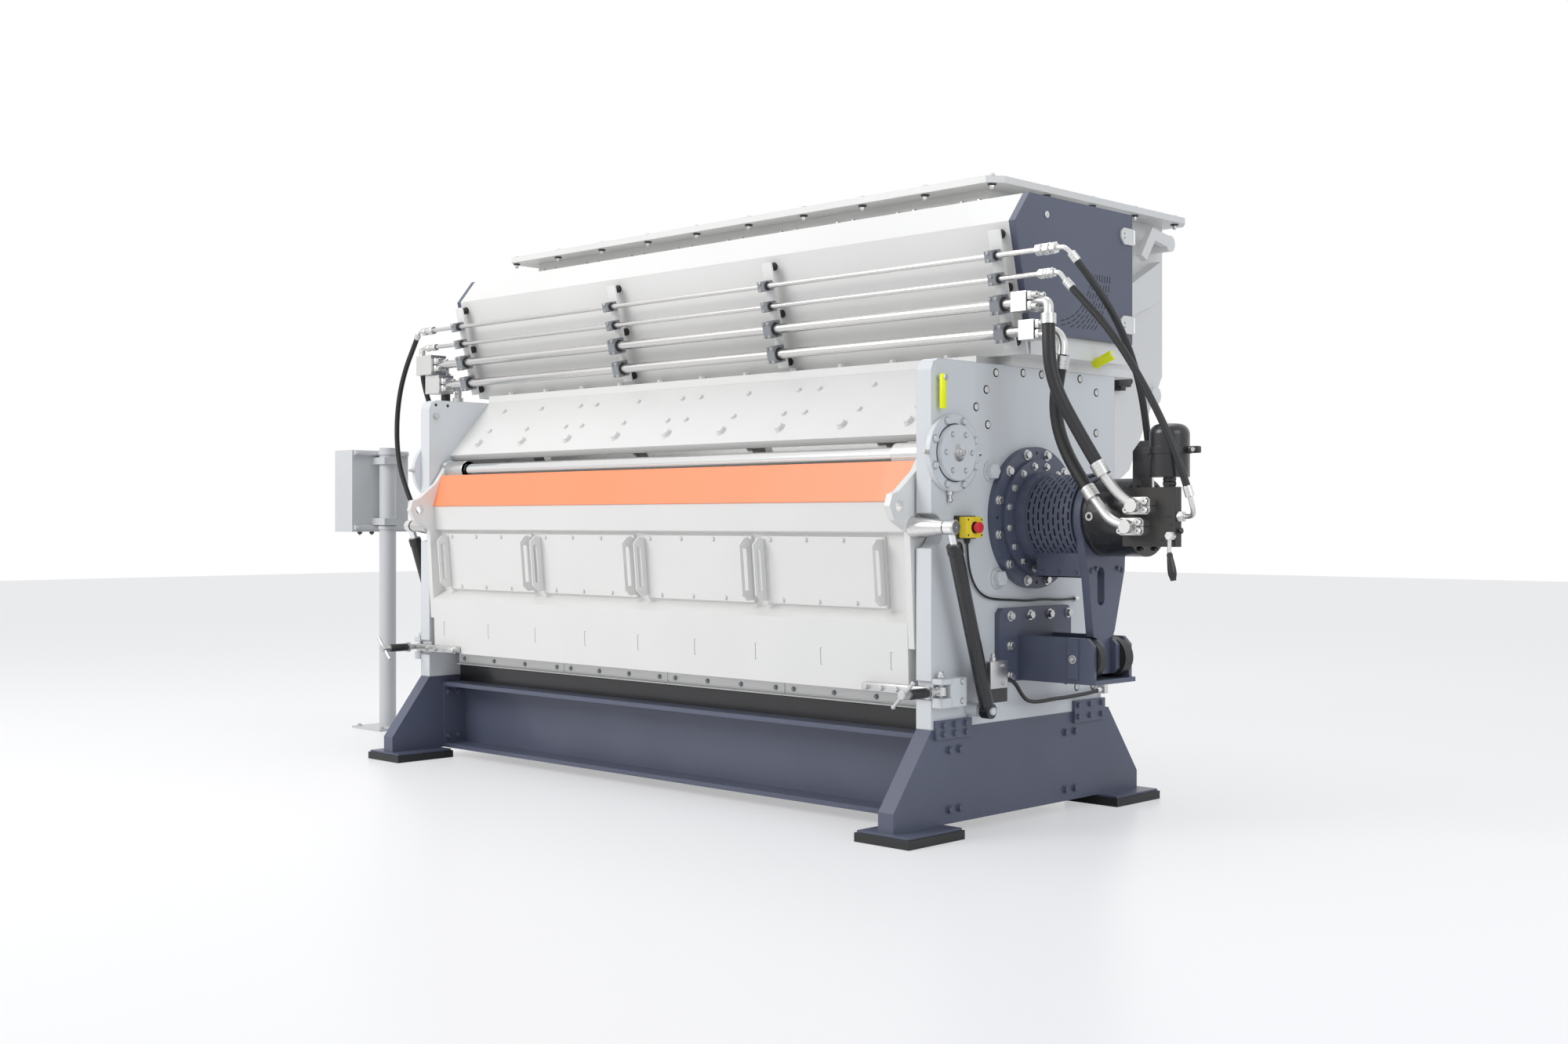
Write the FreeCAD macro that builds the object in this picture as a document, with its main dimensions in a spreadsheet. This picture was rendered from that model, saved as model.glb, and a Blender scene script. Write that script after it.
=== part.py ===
import FreeCAD, Part
import math
import os
import re

import Sketcher
from FreeCAD import Placement, Rotation, Vector

# Single-rotor fine shredder: end frames on a beam base, a hopper neck and hood above,
# a drive at each end and a front door that swings up on a shaft.
# Frame: +X to the right along the rotor, +Y to the rear, +Z up, origin on the floor
# under the middle of the machine. Millimetres.

SIZES = {
    "half_clear": 1600.0,
    "frame_plate": 75.0,
    "base_low": 43.0,
    "base_knee": 117.0,
    "base_top": 406.0,
    "base_half": 806.0,
    "frame_front": 587.0,
    "frame_top": 1806.0,
    "frame_rear": 634.0,
    "frame_heel": 532.0,
    "beam_front": 509.0,
    "beam_rear": 229.0,
    "beam_low": 45.0,
    "beam_high": 375.0,
    "beam_flange": 20.0,
    "end_plate": 15.0,
    "pad_side": 1507.0,
    "pad_front": 835.0,
    "pad_high": 34.0,
    "bar_top": 1842.0,
    "neck_half": 1482.0,
    "neck_front": 14.0,
    "neck_rear": 1317.0,
    "sheet_wall": 12.0,
    "flange_half": 1608.0,
    "flange_front": 106.0,
    "flange_rear": 1372.0,
    "flange_low": 2545.0,
    "flange_thick": 28.0,
    "hood_half": 1790.0,
    "hood_end": 31.0,
    "hood_top": 2463.0,
    "hood_rear": 546.0,
    "hood_brow": 263.0,
    "hood_bend": 2345.0,
    "shaft_y": -478.0,
    "shaft_z": 1450.0,
    "shaft_radius": 30.0,
    "sleeve_radius": 45.0,
    "running_gap": 0.05,
    "rotor_y": 38.0,
    "rotor_z": 1205.0,
    "journal_radius": 80.0,
    "drum_radius": 340.0,
    "drum_half": 1590.0,
    "door_half": 1560.0,
    "ear_plate": 30.0,
    "pin_y": -587.0,
    "pin_z": 1168.0,
    "pivot_y": -362.0,
    "pivot_z": 469.0,
    "cylinder_x": 1766.0,
    "barrel_radius": 28.0,
    "rod_radius": 16.0,
    "clamp_x": 1704.0,
    "clamp_y": -566.0,
    "clamp_z": 553.0,
    "clamp_pin": 8.0,
    "post_x": -2830.0,
    "post_y": -35.0,
    "post_radius": 47.5,
}

KNIFE_RINGS = 24
KNIVES_PER_RING = 4
OUTER_FACE = "half_clear + frame_plate"
ARC_SHARE = 0.45
PIPE_STATIONS = (1750.0, 520.0, -520.0, -1750.0)
THIN_PIPES = ((-315.0, 2207.0), (-295.0, 2120.0))
THICK_PIPES = ((-268.0, 2025.0), (-245.0, 1918.0))
THIN_ENDS = (1966.0, 1955.0)
THICK_ENDS = ((1982.0, 1831.0), (1948.0, 1850.0))
THIN_RADIUS = 10.5
THICK_RADIUS = 21.0
CLEAR_WIDTH = "half_clear + half_clear"
NECK_WIDTH = "neck_half + neck_half"
HOOD_WIDTH = "hood_half + hood_half"
DOOR_WIDTH = "door_half + door_half"
SHAFT_START = "- half_clear - frame_plate + 5"
SHAFT_LENGTH = "half_clear + half_clear + frame_plate + frame_plate - 10"
KNIFE_START = -1560.0
KNIFE_STEP = 132.0
HANDLES = (-1478.0, -805.0, -728.0, -64.0, 15.0, 679.0, 760.0, 1408.0)
HATCHES = ((-1490.0, -795.0), (-738.0, -54.0), (5.0, 689.0), (750.0, 1420.0))

BRACKET_CHEEK = ((1700.0, 583.0), (2058.0, 583.0), (2058.0, 712.0), (2028.0, 742.0),
                 (1700.0, 742.0))
FLASK = (2405.0, -110.0)
PORTS_RIGHT = ((2304.0, 1248.0), (2277.0, 1171.0))

# Each hose: its radius, its route, its sleeve lengths, and the points of the steel bends
# that carry its start and its end.
HOSES = {
    "hose_right_front": (25.0, [
        (1990, -282, 1930), (1995, -288, 1858), (1999, -286, 1778), (2021, -272, 1675),
        (2104, -240, 1512), (2164, -222, 1408)], (40.0, 55.0),
        [(1985, -274, 2014), (1945, -268, 2025), (1903, -268, 2025)],
        [(2240, -202, 1295), (2304, -193, 1248)]),
    "hose_right_back": (25.0, [
        (1993, -212, 1770), (1972, -207, 1690), (1962, -197, 1598), (1982, -189, 1500),
        (2036, -185, 1395), (2096, -185, 1316)], (50.0, 50.0),
        [(2008, -212, 1865), (1985, -214, 1906), (1950, -238, 1919), (1922, -245, 1918)],
        [(2200, -190, 1194), (2277, -193, 1171)]),
    "line_right_upper": (13.5, [
        (2125, -290, 2152), (2170, -262, 2080), (2215, -215, 1985), (2245, -140, 1850),
        (2254, -70, 1700), (2252, -22, 1545), (2255, -2, 1412)], (40.0, 40.0),
        [(2085, -313, 2206), (2046, -315, 2207)],
        [(2257, 6, 1300.3)]),
    "line_right_lower": (13.5, [
        (2095, -279, 2057), (2163, -268, 1983), (2245, -256, 1890), (2333, -240, 1758),
        (2425, -225, 1592), (2494, -205, 1430), (2520, -182, 1318)], (40.0, 40.0),
        [(2050, -293, 2116), (2027, -295, 2120)],
        [(2534, -160, 1232), (2510, -125, 1208), (2462, -110, 1208)]),
    "hose_left_front": (25.0, [
        (-2098, -143, 1935), (-2104, -140, 1850), (-2111, -128, 1762), (-2122, -90, 1672),
        (-2138, -30, 1592), (-2158, 48, 1522), (-2180, 128, 1464), (-2196, 186, 1410)],
        (60.0, 60.0),
        [(-2088, -150, 2045), (-2060, -190, 2055), (-2050, -223, 2055)],
        [(-2213, 250, 1307)]),
    "hose_left_back": (25.0, [
        (-2016, -118, 1800), (-2022, -112, 1720), (-2034, -85, 1630), (-2056, -28, 1550),
        (-2086, 52, 1488), (-2116, 130, 1436), (-2134, 188, 1386)], (60.0, 60.0),
        [(-2008, -122, 1905), (-2008, -160, 1922), (-2008, -199, 1922)],
        [(-2150, 250, 1308)]),
    "line_left_upper": (13.5, [
        (-2150, -292, 2180), (-2215, -275, 2125), (-2300, -260, 2040), (-2379, -250, 1905),
        (-2425, -240, 1745), (-2428, -234, 1575), (-2390, -225, 1422), (-2340, -205, 1305)],
        (40.0, 40.0),
        [(-2088, -312, 2207), (-2046, -315, 2207)],
        [(-2304, -172, 1210), (-2301, -140, 1205), (-2301, -111.4, 1205)]),
    "line_left_lower": (13.5, [
        (-2118, -280, 2080), (-2140, -268, 2030), (-2150, -252, 1950), (-2146, -224, 1850),
        (-2152, -170, 1735), (-2176, -90, 1632), (-2210, 10, 1545), (-2246, 110, 1470),
        (-2270, 178, 1410)], (40.0, 40.0),
        [(-2075, -295, 2120), (-2025, -295, 2120)],
        [(-2285, 250, 1305)]),
}
CYLINDER_HOSE = [
    (1768, -266.5, 585), (1768, -222, 580), (1764, -178, 556), (1752, -134, 520),
    (1738, -80, 488), (1726, -15, 474), (1716, 65, 471), (1710, 150, 474),
    (1706, 235, 473), (1704, 320, 476), (1702, 400, 478), (1700, 465, 484)]
for name, side in (("cylinder_hose_right", 1), ("cylinder_hose_left", -1)):
    HOSES[name] = (8.0, [(side * x, y, z) for x, y, z in CYLINDER_HOSE], (0.0, 25.0), [],
                   [(side * 1699, 506, 487)])
STOP_CABLE = [
    (1686, -386, 1105), (1686, -382, 1040), (1686, -362, 975), (1686, -322, 922),
    (1686, -262, 893), (1686, -180, 884), (1686, -90, 880), (1686, 10, 873),
    (1686, 110, 878), (1686, 220, 870), (1686, 320, 872)]

doc = FreeCAD.newDocument("FineShredder")
sheet = doc.addObject("Spreadsheet::Sheet", "Dims")
for line, (alias, value) in enumerate(SIZES.items(), start=1):
    sheet.set("A%d" % line, alias)
    sheet.set("B%d" % line, str(value))
    sheet.setAlias("B%d" % line, alias)
doc.recompute()

NODES = []


def cell(term):
    """The expression for a size: its sheet names get the sheet's own name."""
    def named(match):
        word = match.group(0)
        return "Dims." + word if word in SIZES else word
    return re.sub(r"[a-z_]+", named, str(term))


def amount(term):
    """The number that a sum of sheet names and figures comes to."""
    total = 0.0
    sign = 1.0
    for word in str(term).split():
        if word in ("+", "-"):
            sign = 1.0 if word == "+" else -1.0
        else:
            total += sign * SIZES.get(word, 0.0) if word in SIZES else sign * float(word)
            sign = 1.0
    return total


def bind(item, prop, term):
    item.setExpression(prop, cell(term))


def stand(item, x, y, z):
    bind(item, "Placement.Base.x", x)
    bind(item, "Placement.Base.y", y)
    bind(item, "Placement.Base.z", z)


def node(item):
    """Marks a finished sub-part, which is written under its own label."""
    NODES.append(item)
    return item


def box(label, x, y, z, dx, dy, dz):
    item = doc.addObject("Part::Box", label)
    bind(item, "Length", dx)
    bind(item, "Width", dy)
    bind(item, "Height", dz)
    stand(item, x, y, z)
    return item


TURNS = {
    "X": Rotation(Vector(0, 1, 0), 90),
    "Y": Rotation(Vector(1, 0, 0), -90),
    "Z": Rotation(),
}


def rod(label, axis, x, y, z, radius, length):
    """A round bar from x, y, z along the named axis."""
    item = doc.addObject("Part::Cylinder", label)
    item.Placement = Placement(Vector(), TURNS[axis])
    bind(item, "Radius", radius)
    bind(item, "Height", length)
    stand(item, x, y, z)
    return item


def leaning_rod(label, x, y, z, towards, radius, length, start=0.0):
    """A round bar that starts a distance from x, y, z along a direction."""
    item = doc.addObject("Part::Cylinder", label)
    turn = Rotation(Vector(0, 0, 1), towards)
    item.Placement = Placement(Vector(), turn)
    bind(item, "Radius", radius)
    bind(item, "Height", length)
    shift = Vector(towards).normalize() * start
    base = Vector(amount(x), amount(y), amount(z)) + shift
    stand(item, base.x, base.y, base.z)
    return item


def cone(label, x, y, z, wide, narrow, length):
    item = doc.addObject("Part::Cone", label)
    item.Placement = Placement(Vector(), TURNS["X"])
    bind(item, "Radius1", wide)
    bind(item, "Radius2", narrow)
    bind(item, "Height", length)
    stand(item, x, y, z)
    return item


PLANES = {"X": "YZ_Plane", "Y": "XZ_Plane", "Z": "XY_Plane"}


def outline(sketch, corners):
    """Draws a closed outline and ties every corner to its figures in the sheet."""
    points = [Vector(amount(a), amount(b), 0) for a, b in corners]
    count = len(points)
    first = sketch.GeometryCount
    for index in range(count):
        sketch.addGeometry(Part.LineSegment(points[index], points[(index + 1) % count]), False)
    for index in range(count):
        after = first + (index + 1) % count
        sketch.addConstraint(Sketcher.Constraint("Coincident", first + index, 2, after, 1))
    for index, corner in enumerate(corners):
        for kind, term in zip(("DistanceX", "DistanceY"), corner):
            place = sketch.addConstraint(
                Sketcher.Constraint(kind, -1, 1, first + index, 1, amount(term)))
            if isinstance(term, str):
                sketch.setExpression("Constraints[%d]" % place, cell(term))


def plate(label, across, start, thickness, corners, hole=None):
    """A plate with its outline across an axis, from start along that axis."""
    body = doc.addObject("PartDesign::Body", label)
    sketch = body.newObject("Sketcher::SketchObject", label + "_outline")
    plane = [item for item in body.Origin.OriginFeatures if item.Role == PLANES[across]][0]
    sketch.AttachmentSupport = [(plane, "")]
    sketch.MapMode = "FlatFace"
    outline(sketch, corners)
    if hole:
        outline(sketch, hole)
    pad = body.newObject("PartDesign::Pad", label + "_pad")
    pad.Profile = sketch
    pad.Reversed = across == "Y"
    bind(pad, "Length", thickness)
    sketch.Visibility = False
    place = {"X": 0.0, "Y": 0.0, "Z": 0.0}
    place[across] = start
    stand(body, place["X"], place["Y"], place["Z"])
    return body


def joined(label, *items):
    item = doc.addObject("Part::MultiFuse", label)
    item.Shapes = list(items)
    return item


def gathered(label, *items):
    item = doc.addObject("Part::Compound", label)
    item.Links = list(items)
    return item


def drilled(label, base, *tools):
    item = doc.addObject("Part::Cut", label)
    item.Base = base
    item.Tool = tools[0] if len(tools) == 1 else joined(label + "_tools", *tools)
    return item


def mirrored(label, source, normal=(1, 0, 0)):
    item = doc.addObject("Part::Mirroring", label)
    item.Source = source
    item.Base = Vector(0, 0, 0)
    item.Normal = Vector(*normal)
    return item


def both_sides(label, source):
    """The same piece at the right end and mirrored at the left end."""
    return gathered(label, source, mirrored(label + "_mirror", source))


def both_ends(label, source):
    """A sub-part that is the same at the right end and at the left end."""
    return node(both_sides(label, source))


def pair(name, source_maker):
    """A right piece and its mirrored left piece, each a sub-part of its own."""
    right = node(source_maker(name + "_right"))
    node(mirrored(name + "_left", right))
    return right


def base_side(label):
    side = plate(label + "_plate", "X", "half_clear", "frame_plate", [
        ("- base_half", "base_low"), ("base_half", "base_low"), ("base_half", "base_knee"),
        ("frame_front", "base_top"), ("- frame_front", "base_top"), ("- base_half", "base_knee")])
    shoe = box(label + "_shoe", "pad_side + 8", "- pad_front + 8", "pad_high", 249, 310,
               "base_low - pad_high")
    shoe_rear = mirrored(label + "_shoe_rear", shoe, (0, 1, 0))
    front = box(label + "_tie_front", "half_clear + frame_plate", -575, 367, 15, 213, 72)
    rear = box(label + "_tie_rear", "half_clear + frame_plate", 322, 359, 15, 220, 91)
    return joined(label, side, shoe, shoe_rear, front, rear)


def base_beam():
    web = 6.0
    middle = -0.5 * (SIZES["beam_front"] + SIZES["beam_rear"])
    front = "- beam_front"
    back = "- beam_rear"
    section = plate("beam_section", "X", "- half_clear + end_plate", CLEAR_WIDTH
                    + " - end_plate - end_plate", [
        (front, "beam_low"), (back, "beam_low"), (back, "beam_low + beam_flange"),
        (middle + web, "beam_low + beam_flange"), (middle + web, "beam_high - beam_flange"),
        (back, "beam_high - beam_flange"), (back, "beam_high"), (front, "beam_high"),
        (front, "beam_high - beam_flange"), (middle - web, "beam_high - beam_flange"),
        (middle - web, "beam_low + beam_flange"), (front, "beam_low + beam_flange")])
    right = box("beam_end", "half_clear - end_plate", front, "beam_low",
                "end_plate", "beam_front - beam_rear", "beam_high - beam_low")
    left = mirrored("beam_end_left", right)
    return joined("base_beam_front", section, right, left)


def feet():
    pad = box("pad", "pad_side", "- pad_front", 0, 265, 326, "pad_high")
    both_ends("foot_pads", gathered("pads_right", pad, mirrored("pad_rear", pad, (0, 1, 0))))


def end_frame(label):
    sheet_metal = plate(label + "_plate", "X", "half_clear", "frame_plate", [
        ("- frame_front", "base_top"), ("frame_heel", "base_top"), ("frame_heel", 790.0),
        ("frame_rear", 850.0), ("frame_rear", "frame_top"), (-544.0, "frame_top"),
        (-574.0, "frame_top - 13"), ("- frame_front", "frame_top - 43")])
    notch = rod(label + "_notch", "X", "half_clear - 5", "- frame_front", 1155, 66,
                "frame_plate + 10")
    shaft = rod(label + "_shaft", "X", "half_clear - 5", "shaft_y", "shaft_z",
                "shaft_radius + running_gap", "frame_plate + 10")
    journal = rod(label + "_journal", "X", "half_clear - 5", "rotor_y", "rotor_z",
                  "journal_radius + running_gap", "frame_plate + 10")
    slot = box(label + "_slot", "half_clear - 5", "- frame_front - 5", 518,
               "frame_plate + 10", 17, 70)
    return drilled(label, sheet_metal, notch, shaft, journal, slot)


def frame_details():
    ring = rod("cover_ring", "X", "half_clear + frame_plate", "shaft_y", "shaft_z", 148, 25)
    disc = rod("cover_disc", "X", "half_clear + frame_plate", "shaft_y", "shaft_z", 107, 45)
    both_ends("hinge_covers", joined("cover", ring, disc))
    node(plate("knife_beam", "X", "- half_clear", CLEAR_WIDTH, [
        (-219.0, "frame_top"), (-462.0, 1528.0), (-432.0, 1502.0), (-166.0, "frame_top")]))
    roof = box("roof_front", "- half_clear", -219, "frame_top", CLEAR_WIDTH,
               "neck_front + sheet_wall + 219", "bar_top - frame_top")
    bar = box("roof_bar", "neck_half", -89, "frame_top", "half_clear + frame_plate - neck_half",
              870, "bar_top - frame_top")
    floor = box("sill_floor", "half_clear - 10", -120, "bar_top",
                "hood_half - half_clear + 10", 666, 10)
    web = box("sill_web", "hood_half - 12", -120, "bar_top", 12, 666, 98)
    sides = both_sides("roof_sides", joined("roof_side", bar, floor, web))
    node(joined("chamber_roof", roof, sides))
    node(box("rear_wall", "- half_clear", 495, "beam_high", CLEAR_WIDTH, 12, 735))
    node(box("discharge_skirt", "- half_clear", -400, "beam_high", CLEAR_WIDTH, 12, 80))
    node(grate_bars("screen_bars"))


def grate_bars(label):
    """Grate bars round the lower half of the rotor, from end frame to end frame."""
    bars = []
    for index in range(9):
        angle = math.radians(200.0 + 17.5 * index)
        y = 38.0 + 400.0 * math.cos(angle)
        z = 1205.0 + 400.0 * math.sin(angle)
        bars.append(rod("bar_%d" % index, "X", "- half_clear", y, z, 11, CLEAR_WIDTH))
    return gathered(label, *bars)


def infeed():
    front = box("infeed_front", "- neck_half", "neck_front", "bar_top", NECK_WIDTH,
                "sheet_wall", "flange_low - bar_top")
    side = plate("infeed_side", "X", "neck_half - sheet_wall", "sheet_wall", [
        ("neck_front + sheet_wall", "bar_top"), (560.0, "bar_top"), (560.0, 1149.0),
        (1043.0, 1421.0), ("neck_rear", 1860.0), ("neck_rear", "flange_low"),
        ("neck_front + sheet_wall", "flange_low")])
    cheek = box("infeed_cheek", "neck_half", 560, 1149, "half_clear - neck_half", "sheet_wall",
                "frame_top - 1149")
    sides = both_sides("infeed_sides", joined("infeed_side_set", side, cheek))
    node(joined("infeed_walls", front, sides))
    node(plate("infeed_rear", "X", "- neck_half + sheet_wall", NECK_WIDTH
               + " - sheet_wall - sheet_wall", [
        ("neck_rear", "flange_low"), ("neck_rear", 1860.0), (1043.0, 1421.0),
        (507.0, 1110.0), (507.0, 1124.0), (1034.0, 1430.0),
        ("neck_rear - sheet_wall", 1863.0), ("neck_rear - sheet_wall", "flange_low")]))
    rim = plate("rim", "Z", "flange_low", "flange_thick", [
        ("- flange_half", "- flange_front + 64"), ("- flange_half + 49", "- flange_front"),
        ("flange_half - 49", "- flange_front"), ("flange_half", "- flange_front + 64"),
        ("flange_half", "flange_rear - 64"), ("flange_half - 49", "flange_rear"),
        ("- flange_half + 49", "flange_rear"), ("- flange_half", "flange_rear - 64")])
    mouth = box("mouth", "- neck_half + sheet_wall", "neck_front + sheet_wall", 2500,
                NECK_WIDTH + " - sheet_wall - sheet_wall",
                "neck_rear - neck_front - sheet_wall - sheet_wall", 120)
    node(drilled("inlet_flange", rim, mouth))


def hood():
    shell = plate("hood_shell", "X", "- hood_half", HOOD_WIDTH, [
        (-142.0, "bar_top"), ("- hood_brow", "hood_bend"), (-171.0, "hood_top"),
        ("hood_rear", "hood_top"), ("hood_rear", "hood_top - sheet_wall"),
        (-165.0, "hood_top - sheet_wall"), (-250.0, 2342.0), (-130.0, "bar_top")])
    passage = box("passage", "- neck_half", "neck_front", 2400, NECK_WIDTH, 600, 120)
    node(drilled("hood_sheet", shell, passage))

    def end(label):
        return plate(label, "X", "hood_half", "hood_end", [
            (-162.0, 1925.0), ("- hood_brow", "hood_bend"), (-171.0, "hood_top"),
            ("hood_rear", "hood_top"), ("hood_rear", 1925.0)])

    both_ends("hood_ends", end("hood_end_plate"))


HOOD_FOOT = Vector(0, -142, SIZES["bar_top"])
HOOD_BEND = Vector(0, -SIZES["hood_brow"], SIZES["hood_bend"])
SLOPE = (HOOD_BEND - HOOD_FOOT).normalize()
OUTWARD = Vector(0, -SLOPE.z, SLOPE.y)


def slab(label, x, across, height, along, low, high):
    """A block on the sloping hood face, between two distances from that face."""
    item = doc.addObject("Part::Box", label)
    item.Length = across
    item.Width = high - low
    item.Height = along
    face = HOOD_FOOT + Vector(x - 0.5 * across, 0, 0) + SLOPE * height + OUTWARD * high
    item.Placement = Placement(face, Rotation(Vector(1, 0, 0), OUTWARD * -1, SLOPE, "ZYX"))
    return item


def face_height(y, z):
    return (Vector(0, y, z) - HOOD_FOOT).dot(SLOPE)


def pipes():
    thin = [rod("thin_%d" % i, "X", -end, y, z, THIN_RADIUS, 2 * end)
            for i, ((y, z), end) in enumerate(zip(THIN_PIPES, THIN_ENDS))]
    thick = [rod("thick_%d" % i, "X", -left, y, z, THICK_RADIUS, left + right)
             for i, ((y, z), (left, right)) in enumerate(zip(THICK_PIPES, THICK_ENDS))]
    node(gathered("hood_pipes", *(thin + thick)))
    rails = []
    blocks = []
    for index, x in enumerate(PIPE_STATIONS):
        rail = slab("rail_%d" % index, x, 60, 45, 350, 42, 50)
        studs = [slab("stud_%d_%d" % (index, n), x, 30, 60 + 150 * n, 30, 0.3, 42)
                 for n in range(3)]
        rails.append(joined("rail_set_%d" % index, rail, *studs))
        for n, (y, z) in enumerate(THIN_PIPES):
            blocks.append(slab("thin_block_%d_%d" % (index, n), x, 36,
                               face_height(y, z) - 22, 44, 50, 108))
        for n, (y, z) in enumerate(THICK_PIPES):
            blocks.append(slab("thick_block_%d_%d" % (index, n), x, 46,
                               face_height(y, z) - 36, 72, 50, 114))
    node(gathered("pipe_rails", *rails))
    node(drilled("pipe_clamps", gathered("blocks", *blocks), *(thin + thick)))


def torque_bracket():
    wall = plate("bracket_wall", "X", OUTER_FACE, 25.0, [
        (-200.0, 581.0), (-180.0, 561.0), (260.0, 561.0), (280.0, 581.0), (280.0, 830.0),
        (260.0, 850.0), (-180.0, 850.0), (-200.0, 830.0)])
    shelf = box("bracket_shelf", 1700, -84, 565, 366, 274, 18)
    front = plate("bracket_front", "Y", -84.0, 18.0, BRACKET_CHEEK)
    back = plate("bracket_back", "Y", 157.0, 19.0, BRACKET_CHEEK)
    rib = box("bracket_rib", 1942, -92, 583, 47, 8, 159)
    return joined("bracket", wall, shelf, front, back, rib)


def torque_arm():
    hub = rod("arm_hub", "X", 1985, "rotor_y", "rotor_z", 160, 35)
    blade = plate("arm_blade", "X", 1985.0, 35.0, [
        (-122.0, 1205.0), (-65.0, 1000.0), (-32.0, 766.0), (-28.0, 745.0), (-2.0, 735.0),
        (-2.0, 600.0), (78.0, 600.0), (78.0, 735.0), (104.0, 745.0), (115.0, 766.0),
        (184.0, 1000.0), (198.0, 1205.0)])
    feet = [plate("arm_foot_%d" % index, "Y", y, 26.0, [
        (1950.0, 620.0), (1970.0, 600.0), (2030.0, 600.0), (2050.0, 620.0), (2050.0, 715.0),
        (2030.0, 735.0), (1970.0, 735.0), (1950.0, 715.0)])
        for index, y in enumerate((-28.0, 78.0))]
    slot = [rod("arm_slot_%d" % index, "X", 1980, 20, z, 24, 45)
            for index, z in enumerate((890, 990))]
    gap = box("arm_slot_gap", 1980, -4, 890, 45, 48, 100)
    return drilled("torque_arm", joined("arm", hub, blade, *feet), gap, *slot)


def drive():
    ring = rod("bearing_ring", "X", OUTER_FACE, "rotor_y", "rotor_z", 283, 29)
    cap = rod("bearing_cap", "X", OUTER_FACE, "rotor_y", "rotor_z", 180, 99)
    both_ends("bearing_flanges", joined("bearing", ring, cap))
    tunnel = rod("guard_round", "X", OUTER_FACE + " + 99", "rotor_y", "rotor_z", 170, 211)
    tab = box("guard_tab", OUTER_FACE + " + 99", -60, 973, 211, 196, 150)
    both_ends("coupling_guards", joined("guard", tunnel, tab))
    right = rod("motor_right", "X", 2020, "rotor_y", "rotor_z", 149, 196)
    left = rod("motor_left", "X", -2350, "rotor_y", "rotor_z", 149, 330)
    saddle = box("motor_saddle", -2330, 100, 1110, 200, 190, 190)
    node(gathered("drive_motors", right, joined("motor_left_set", left, saddle)))
    both_ends("torque_arms", torque_arm())
    both_ends("torque_brackets", torque_bracket())
    near = rod("buffer_near", "Y", 2000, -66, 661.4, 78, 38)
    far = rod("buffer_far", "Y", 2000, 104, 661.4, 78, 53)
    both_ends("torque_buffers", gathered("buffers", near, far))


def valves():
    front = box("manifold", 2216, -130, 1097, 226, 40, 219)
    rear = box("manifold_rear", 2216, -90, 1110, 84, 190, 190)
    hexagon = rod("lever_hub", "Y", 2430, -158, 1137, 14, 28)
    arm = rod("lever_arm", "Z", 2430, -152, 1068, 6, 69)
    grip = leaning_rod("lever_grip", 2431, -152, 1072, Vector(16, 0, -97), 11, 98)
    node(joined("valve_block", front, rear, hexagon, arm, grip))
    flask = rod("flask_body", "Z", *FLASK, 1352, 73, 195)
    rounded = doc.addObject("Part::Fillet", "flask_round")
    rounded.Base = flask
    rounded.Edges = [(1, 40.0, 40.0), (3, 40.0, 40.0)]
    neck = rod("flask_neck", "Z", *FLASK, 1316, 22, 60)
    band = rod("flask_band", "Z", *FLASK, 1437, 76, 26)
    ear = box("flask_ear", 2296, -120, 1437, 50, 37, 26)
    holder = plate("flask_holder", "Y", -83.0, 6.0, [
        (2230.0, 1316.0), (2310.0, 1316.0), (2310.0, 1490.0), (2262.0, 1490.0),
        (2230.0, 1452.0)])
    node(joined("accumulator", rounded, neck, band, ear, holder))


def tube_path(points):
    """Straight runs joined by tangent arcs, each as large as its two runs allow."""
    corners = [Vector(*point) for point in points]
    edges = []
    radii = []
    last = corners[0]
    for before, corner, after in zip(corners, corners[1:], corners[2:]):
        come = corner - before
        leave = after - corner
        reach = ARC_SHARE * min(come.Length, leave.Length)
        half_turn = 0.5 * come.getAngle(leave)
        come.normalize()
        leave.normalize()
        radius = reach / math.tan(half_turn)
        inward = (leave - come).normalize()
        middle = corner + inward * (radius / math.cos(half_turn) - radius)
        start = corner - come * reach
        end = corner + leave * reach
        edges.append(Part.LineSegment(last, start).toShape())
        edges.append(Part.Arc(start, middle, end).toShape())
        radii.append(radius)
        last = end
    edges.append(Part.LineSegment(last, corners[-1]).toShape())
    return Part.Wire(edges), radii


def tube(label, points, radius):
    """A round tube along a route, with its volume held against section times length."""
    path, radii = tube_path(points)
    towards = Vector(*points[1]) - Vector(*points[0])
    ring = Part.Wire(Part.makeCircle(radius, Vector(*points[0]), towards))
    solid = path.makePipeShell([ring], True, True)
    expected = math.pi * radius ** 2 * path.Length
    if abs(solid.Volume - expected) > 0.01 * expected:
        raise RuntimeError("tube %s: %.0f, not %.0f" % (label, solid.Volume, expected))
    item = doc.addObject("Part::Feature", label)
    item.Shape = solid
    least = min(radii) if radii else 0.0
    print("%s: length %.0f, least radius %.0f" % (label, path.Length, least))
    return item


def beyond(points, length):
    """The point a length past the last one, in line with the last run."""
    last = Vector(*points[-1])
    return last + (last - Vector(*points[-2])).normalize() * length


def hose_end(label, points, radius, sleeve, bend):
    """A sleeve on the hose's last run, and the steel bend that carries it on."""
    tip = beyond(points, sleeve)
    wall = 4.0 if radius > 20 else 2.5
    ring = leaning_rod(label + "_sleeve", *points[-1], tip - Vector(*points[-1]),
                       radius + wall, sleeve)
    steel = tube(label + "_bend", [tuple(tip)] + list(bend), radius - wall - 2.0)
    return joined(label, ring, steel)


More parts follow.
